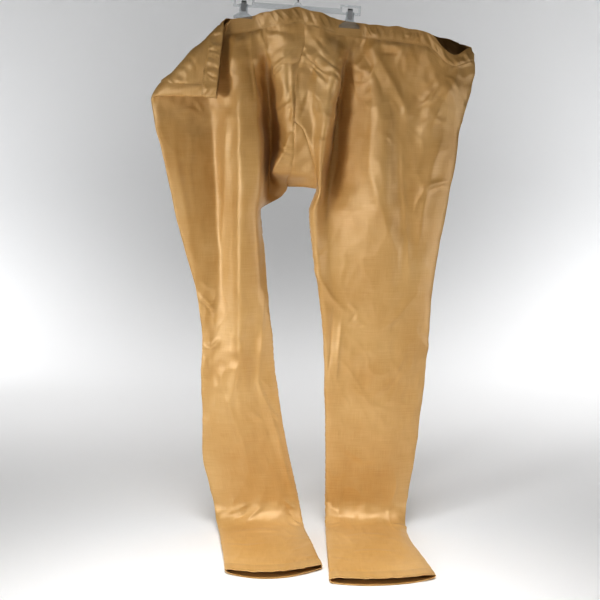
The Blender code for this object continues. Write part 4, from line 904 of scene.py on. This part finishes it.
print("making the panels")
sideSeam = hang["sideSeam"]
backSeam = len(leftLines) - 1
frontGrid = (panelLook["spacing"], panelLook["rows"])
backGrid = (panelLook["backSpacing"], panelLook["backRows"])
front = (0, sideSeam)
back = (sideSeam, backSeam)
panel("frontLeft", "front_left", "left", *front, *frontGrid, leftCreases, (0.40, 1.13), 0.300, 1.3)
panel("frontRight", "front_right", "right", *front, *frontGrid, rightCreases, (0.40, 1.16), 0.310, 4.1)
panel("backLeft", "back_left", "left", *back, *backGrid, backLeftCreases, (0.36, 1.13), 0.260, 8.7)
panel("backRight", "back_right", "right", *back, *backGrid, backRightCreases, (0.36, 1.16), 0.270, 12.9)


stitchLook = {"up": 3.0, "start": 1.0, "length": 2.6, "gap": 1.0, "width": 0.5, "lift": 0.1, "crown": 0.9,
              "root": 0.6}
stitchRuns = []


def readAt(at, along, rows):
    return np.array([np.interp(at, along, rows[:, k]) for k in range(3)])


def rowsOfStitches(name, runs):
    # Small lozenge stitches along runs of (points, normals) in millimetres
    verts, faces = [], []
    length, half = stitchLook["length"], stitchLook["width"] / 2
    for points, normals in runs:
        steps = np.linalg.norm(np.diff(points, axis=0), axis=1)
        along = np.concatenate(([0.0], np.cumsum(steps)))
        for start in np.arange(stitchLook["start"], along[-1] - length, length + stitchLook["gap"]):
            a, b = (readAt(at, along, points) for at in (start, start + length))
            up = readAt(start, along, normals) + readAt(start + length, along, normals)
            up /= np.linalg.norm(up)
            way = b - a
            way /= np.linalg.norm(way)
            side = np.cross(way, up) * half
            middle = (a + b) / 2
            sunk = up * stitchLook["lift"]
            base = len(verts)
            verts += [a - sunk, middle + side, b - sunk, middle - side,
                      middle + up * half * stitchLook["crown"], middle - up * half * stitchLook["root"]]
            for k in range(4):
                one, two = base + k, base + (k + 1) % 4
                faces += [(one, two, base + 4), (two, one, base + 5)]
    mesh = bpy.data.meshes.new(name)
    mesh.from_pydata([(v * mm).tolist() for v in verts], [], faces)
    mesh.materials.append(thread)
    piece = bpy.data.objects.new(name, mesh)
    bpy.context.scene.collection.objects.link(piece)
    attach(piece, "root")


casingLook = {
    "thickness": 1.5, "rows": 1.5, "spacing": 2.2, "fewestColumns": 4, "seamGap": 0.15, "seamFade": 5.0,
    "gathers": 0.65, "gatherSpacing": 14.0, "wideGathers": 0.7, "wideSpacing": 23.8, "gatherSwell": 0.4,
    "crumples": 1.5, "crumpleSize": 15.0, "crumpleStretch": (0.7, 1.0, 1.9), "crumpleSlant": 0.45,
    "facets": 1.3, "facetSize": 24.0, "facetStretch": (0.8, 1.0, 1.6), "puff": 0.8,
    "groove": 0.4, "grooveWidth": 2.2, "thinFrom": 0.6, "ragged": 1.5, "raggedLengths": (7.5, 21.0),
    "wander": 3.0, "wanderLength": 31.0, "shortWander": 2.2, "shortWanderLength": 17.0, "wanderDown": 3.0,
    "swellLength": 41.0, "slantLength": 37.0, "gatherFade": 1.15, "gatherBluntness": 0.7,
    "crumpleFade": 1.1, "crumpleStart": 0.05}


def casing(name, node, leg, first, last, seed, length):
    look = casingLook
    places = placesBetween(leg, first, last, look["spacing"], look["fewestColumns"])
    levels = levelsBetween(hang["waist"], hang["waist"] + hang["casing"] - look["seamGap"], look["rows"])
    points = clothGrid(leg, places, levels)
    normal = outwards(points, leg)
    free = heldFlat(points)
    along = alongRows(points)
    down = ((levels - hang["waist"]) / hang["casing"])[:, None]
    drop = down * hang["casing"] + 0 * along
    # gathers wander and swell along the waist
    wander = look["wander"] * np.sin(along / look["wanderLength"] + seed)
    wander += look["shortWander"] * np.sin(down * look["wanderDown"] + along / look["shortWanderLength"])
    gathers = np.sin((along + wander) * 2 * math.pi / look["gatherSpacing"] + seed)
    gathers += look["wideGathers"] * np.sin((along - wander) * 2 * math.pi / look["wideSpacing"] + 2 * seed)
    swell = np.sin(along / look["swellLength"] + 3 * seed)
    gathers *= 1.0 - look["gatherSwell"] + look["gatherSwell"] * swell
    slant = look["crumpleSlant"] * drop * np.sin(along / look["slantLength"] + seed)
    slanted = np.stack([along + slant, 0 * along, drop], -1)
    straight = np.stack([along, 0 * along, drop], -1)
    crumpled = crumples(slanted, look["crumpleSize"], seed, look["crumpleStretch"])
    slants = facets(straight, look["facetSize"], seed + 3.0, look["facetStretch"])
    # gathers and crumples fade out towards the stitches, the rest towards both edges
    arch = np.sin(down * math.pi)
    gathered = np.sin(np.clip(down * look["gatherFade"], 0, 1) * math.pi) ** look["gatherBluntness"]
    pressed = np.sin(np.clip(down * look["crumpleFade"] + look["crumpleStart"], 0, 1) * math.pi)
    height = look["gathers"] * gathers * gathered
    height += look["crumples"] * crumpled * pressed
    height += (look["puff"] + look["facets"] * slants) * arch
    # the stitches pull a groove, and below them the casing comes down to the panel
    fromStitches = drop - (hang["casing"] - stitchLook["up"])
    height -= look["groove"] * np.exp(-(fromStitches / look["grooveWidth"]) ** 2)
    thinner = smooth((down - look["thinFrom"]) / (1.0 - look["thinFrom"]))
    height -= (look["thickness"] - panelLook["thickness"]) / 2 * thinner
    fromEdges = smooth(np.minimum(along, along[:, -1:] - along) / look["seamFade"])
    points = points + normal * (height * free * fromEdges)[..., None]
    short, long = (along[0] / run for run in look["raggedLengths"])
    ragged = look["ragged"] * np.sin(short + seed) * np.sin(long + 2 * seed) * free[0]
    points[..., 2] += ragged[None, :] * (1 - down)
    points = meetNeighbours(points)
    piece = shell(name, points, look["thickness"], satinTurned, leg)
    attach(piece, "root")
    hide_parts(node)
    row = len(levels) - 1 - round(stitchLook["up"] / look["rows"])
    lift = look["thickness"] / 2 + stitchLook["lift"]
    stitchRuns.append((points[row] + normal[row] * lift, normal[row]))
    print(name, "area", round(clothArea(points), 4), "m2", points.shape)


casing("casingFrontLeft", "casing_front_left", "left", *front, 0.7, 0.29)
casing("casingFrontRight", "casing_front_right", "right", *front, 2.9, 0.31)
casing("casingBackLeft", "casing_back_left", "left", *back, 4.3, 0.26)
casing("casingBackRight", "casing_back_right", "right", *back, 6.1, 0.29)
print("casing made")


hemLook = {"thickness": 1.5, "rows": 1.9, "spacing": 2.6, "seamGap": 0.15, "ripple": 0.35, "ripples": 13,
           "shortRipples": 21, "shortShare": 0.7, "puff": 0.5, "facesUp": 0.3, "fewestStitched": 4,
           "upperFrom": -0.2, "upperFade": 0.6, "rippleAtTop": 0.4}


def hem(name, node, leg, seed):
    look = hemLook
    bottom = legs[leg]["hem"]
    places = placesBetween(leg, 0, backSeam, look["spacing"])[:-1]
    levels = levelsBetween(bottom - hang["hem"] + look["seamGap"], bottom, look["rows"])
    points = clothGrid(leg, places, levels)
    normal = outwards(points, leg, closed=True)
    along = alongRows(points)
    whole = along[:, -1:] + np.linalg.norm(points[:, :1] - points[:, -1:], axis=-1)
    turns = along / whole * 2 * math.pi
    down = ((levels - levels[0]) / (levels[-1] - levels[0]))[:, None]
    # only the upper side ripples, the lower one lies on the ground
    upper = smooth((normal[..., 2] - look["upperFrom"]) / look["upperFade"])
    ripple = np.sin(turns * look["ripples"] + seed)
    ripple += look["shortShare"] * np.sin(turns * look["shortRipples"] + 2 * seed)
    share = look["rippleAtTop"] + (1 - look["rippleAtTop"]) * down
    height = look["ripple"] * ripple * share + look["puff"] * np.sin(down * math.pi)
    points = points + normal * (height * upper)[..., None]
    piece = shell(name, points, look["thickness"], satinTurned, leg, closed=True)
    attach(piece, "root")
    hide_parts(node)
    # stitches where the hem faces up, in two runs that part at the middle of the round
    shown = np.flatnonzero(normal[1, :, 2] > look["facesUp"])
    half = len(places) // 2
    lift = look["thickness"] / 2 + stitchLook["lift"]
    for run in (shown[shown < half], shown[shown >= half]):
        if len(run) >= look["fewestStitched"]:
            stitchRuns.append((points[1, run] + normal[1, run] * lift, normal[1, run]))
    print(name, "area", round(clothArea(points, True), 4), "m2", points.shape)


hem("hemLeft", "hem_left", "left", 1.1)
hem("hemRight", "hem_right", "right", 3.7)
rowsOfStitches("stitching", stitchRuns)
print("hems and stitching made")


# The gusset reaches a little under the panels beside it, so under says how deep it lies there
gussetLook = {"thickness": 0.8, "columns": 17, "rows": 2.4, "frontStart": 291.0, "backStart": 298.0,
              "short": 1.5, "reach": 1.2, "under": 0.9, "underWidth": 2.2, "slack": 0.035,
              "slackLength": 13.0, "slackStart": 0.6, "pulls": 0.5, "pullLength": 5.2, "pullSlant": 4.0,
              "frontFaces": (0.0, -1.0, -0.4)}


def seamEdges(place, levels):
    return np.stack([clothGrid(leg, np.array([float(place)]), levels)[:, 0] for leg in ("left", "right")], 1)


def gusset():
    look = gussetLook
    lowest = hang["fork"] - look["short"]
    down = levelsBetween(look["frontStart"], lowest, look["rows"])
    up = levelsBetween(look["backStart"], lowest, look["rows"])[::-1]
    edges = np.concatenate([seamEdges(0, down), seamEdges(backSeam, up)], 0)
    across = edges[:, 1] - edges[:, 0]
    across /= np.linalg.norm(across, axis=1, keepdims=True)
    left = edges[:, 0] - across * look["reach"]
    right = edges[:, 1] + across * look["reach"]
    share = np.linspace(0.0, 1.0, look["columns"])[None, :]
    points = left[:, None] * (1 - share[..., None]) + right[:, None] * share[..., None]
    normal = -outwards(points, "right")
    if (normal[2] @ np.array(look["frontFaces"])).mean() < 0:  # its front row faces forward and down
        normal = -normal
    width = np.linalg.norm(right - left, axis=1)[:, None]
    middle = np.sin(share * math.pi)
    steps = np.linalg.norm(np.diff(points.mean(1), axis=0), axis=1)
    along = np.concatenate(([0.0], np.cumsum(steps)))[:, None]
    height = look["slack"] * width * middle * np.sin(along / look["slackLength"] + look["slackStart"])
    height += look["pulls"] * middle * np.sin(along / look["pullLength"] + share * look["pullSlant"])
    fromSeam = np.minimum(share, 1 - share) * np.maximum(width, 1.0)
    height -= look["under"] * np.exp(-(fromSeam / look["underWidth"]) ** 2)
    points = points + normal * height[..., None]
    piece = shell("gussetPiece", points, look["thickness"], satin, "left")
    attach(piece, "root")
    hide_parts("gusset")
    print("gusset area", round(clothArea(points), 4), "m2", points.shape)


gusset()


# Hanger

hangerFinishes = {
    "hanger_bar": clearPlastic, "clip_left_front_jaw": clearPlastic, "clip_left_back_jaw": clearPlastic,
    "clip_right_front_jaw": clearPlastic, "clip_right_back_jaw": clearPlastic,
    "hanger_hook": springSteel, "clip_left_spring": springSteel, "clip_right_spring": springSteel}
for node, finish in hangerFinishes.items():
    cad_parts[node].data.materials.clear()
    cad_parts[node].data.materials.append(finish)
print("hanger finished")


# Floor, backdrop, lights and camera, in metres

studio = {"wallAt": 2.7, "bendRadius": 1.5, "bendSteps": 24, "width": 6.0, "front": -4.5, "top": 2.6}


def sweep():
    radius = studio["bendRadius"]
    rows = [(studio["front"], ground)]
    for turn in np.linspace(0.0, math.pi / 2, studio["bendSteps"] + 1):
        forward, up = radius * (1 - math.sin(turn)), radius * (1 - math.cos(turn))
        rows.append((studio["wallAt"] - forward, ground + up))
    rows.append((studio["wallAt"], studio["top"]))
    verts = [(x, y, z) for y, z in rows for x in (-studio["width"], studio["width"])]
    faces = [(2 * k, 2 * k + 1, 2 * k + 3, 2 * k + 2) for k in range(len(rows) - 1)]
    mesh = bpy.data.meshes.new("backdrop")
    mesh.from_pydata(verts, [], faces)
    mesh.shade_smooth()
    mesh.materials.append(makePlain("whitePaper", paperFinish))
    backdrop = bpy.data.objects.new("backdrop", mesh)
    bpy.context.scene.collection.objects.link(backdrop)


sweep()

# name: place, what it points at, size, power in watts, beam in degrees, colour
lamps = {
    "keyLamp": ((-1.20, -1.20, -0.45), (0.0, 0.0, -0.66), 0.4, 2.4, 90.0, (1.0, 0.99, 0.97)),
    "leftLamp": ((-1.62, -0.62, -0.92), (-0.08, 0.0, -0.74), 0.6, 0.8, 90.0, (1.0, 0.985, 0.96)),
    "rightLamp": ((1.68, -0.64, -0.90), (0.08, 0.0, -0.72), 0.6, 2.1, 90.0, (1.0, 0.99, 0.97)),
    "frontLamp": ((0.10, -1.80, 0.35), (0.02, 0.0, -0.60), 0.6, 0.36, 90.0, (1.0, 0.99, 0.98)),
    "floorLamp": ((0.0, -0.85, 0.55), (0.0, -0.62, -1.04), 0.8, 4.0, 60.0, (1.0, 0.99, 0.98)),
    "backFloorLampLeft": ((-0.85, 1.0, 0.7), (-0.85, 0.95, -1.04), 0.8, 4.2, 84.0, (1.0, 0.99, 0.98)),
    "backFloorLampRight": ((0.85, 1.0, 0.7), (0.85, 0.95, -1.04), 0.8, 5.0, 84.0, (1.0, 0.99, 0.98)),
    "backdropLampLeft": ((-1.75, 0.95, -0.45), (-1.15, 2.7, -0.45), 0.8, 10.5, 140.0, (1.0, 1.0, 1.0)),
    "backdropLampRight": ((1.75, 0.95, -0.45), (1.15, 2.7, -0.45), 0.8, 10.5, 140.0, (1.0, 1.0, 1.0)),
}
for name, (place, target, size, power, beam, colour) in lamps.items():
    lamp = bpy.data.lights.new(name, "AREA")
    lamp.size = size
    lamp.energy = power
    lamp.spread = math.radians(beam)
    lamp.color = colour
    holder = bpy.data.objects.new(name, lamp)
    holder.location = place
    holder.rotation_euler = (Vector(target) - Vector(place)).to_track_quat("-Z", "Y").to_euler()
    bpy.context.scene.collection.objects.link(holder)

roomLight = {"colour": (1.0, 0.93, 0.82, 1), "strength": 0.045}
world = bpy.data.worlds.new("softRoom")
bpy.context.scene.world = world
world.use_nodes = True
room = world.node_tree.nodes["Background"]
room.inputs["Color"].default_value = roomLight["colour"]
room.inputs["Strength"].default_value = roomLight["strength"]

bpy.context.scene.view_settings.view_transform = "Standard"
bpy.context.scene.view_settings.look = "High Contrast"

cameraLook = {"place": (0.0036, -2.1, -0.24), "pitchDown": 9.99, "lens": 70.3, "sensor": 36.0}
camera = bpy.data.cameras.new("camera")
camera.lens = cameraLook["lens"]
camera.sensor_width = cameraLook["sensor"]
cameraHolder = bpy.data.objects.new("camera", camera)
cameraHolder.location = cameraLook["place"]
cameraHolder.rotation_euler = (math.radians(90.0 - cameraLook["pitchDown"]), 0.0, 0.0)
bpy.context.scene.collection.objects.link(cameraHolder)
bpy.context.scene.camera = cameraHolder
print("stage, lamps and camera ready")
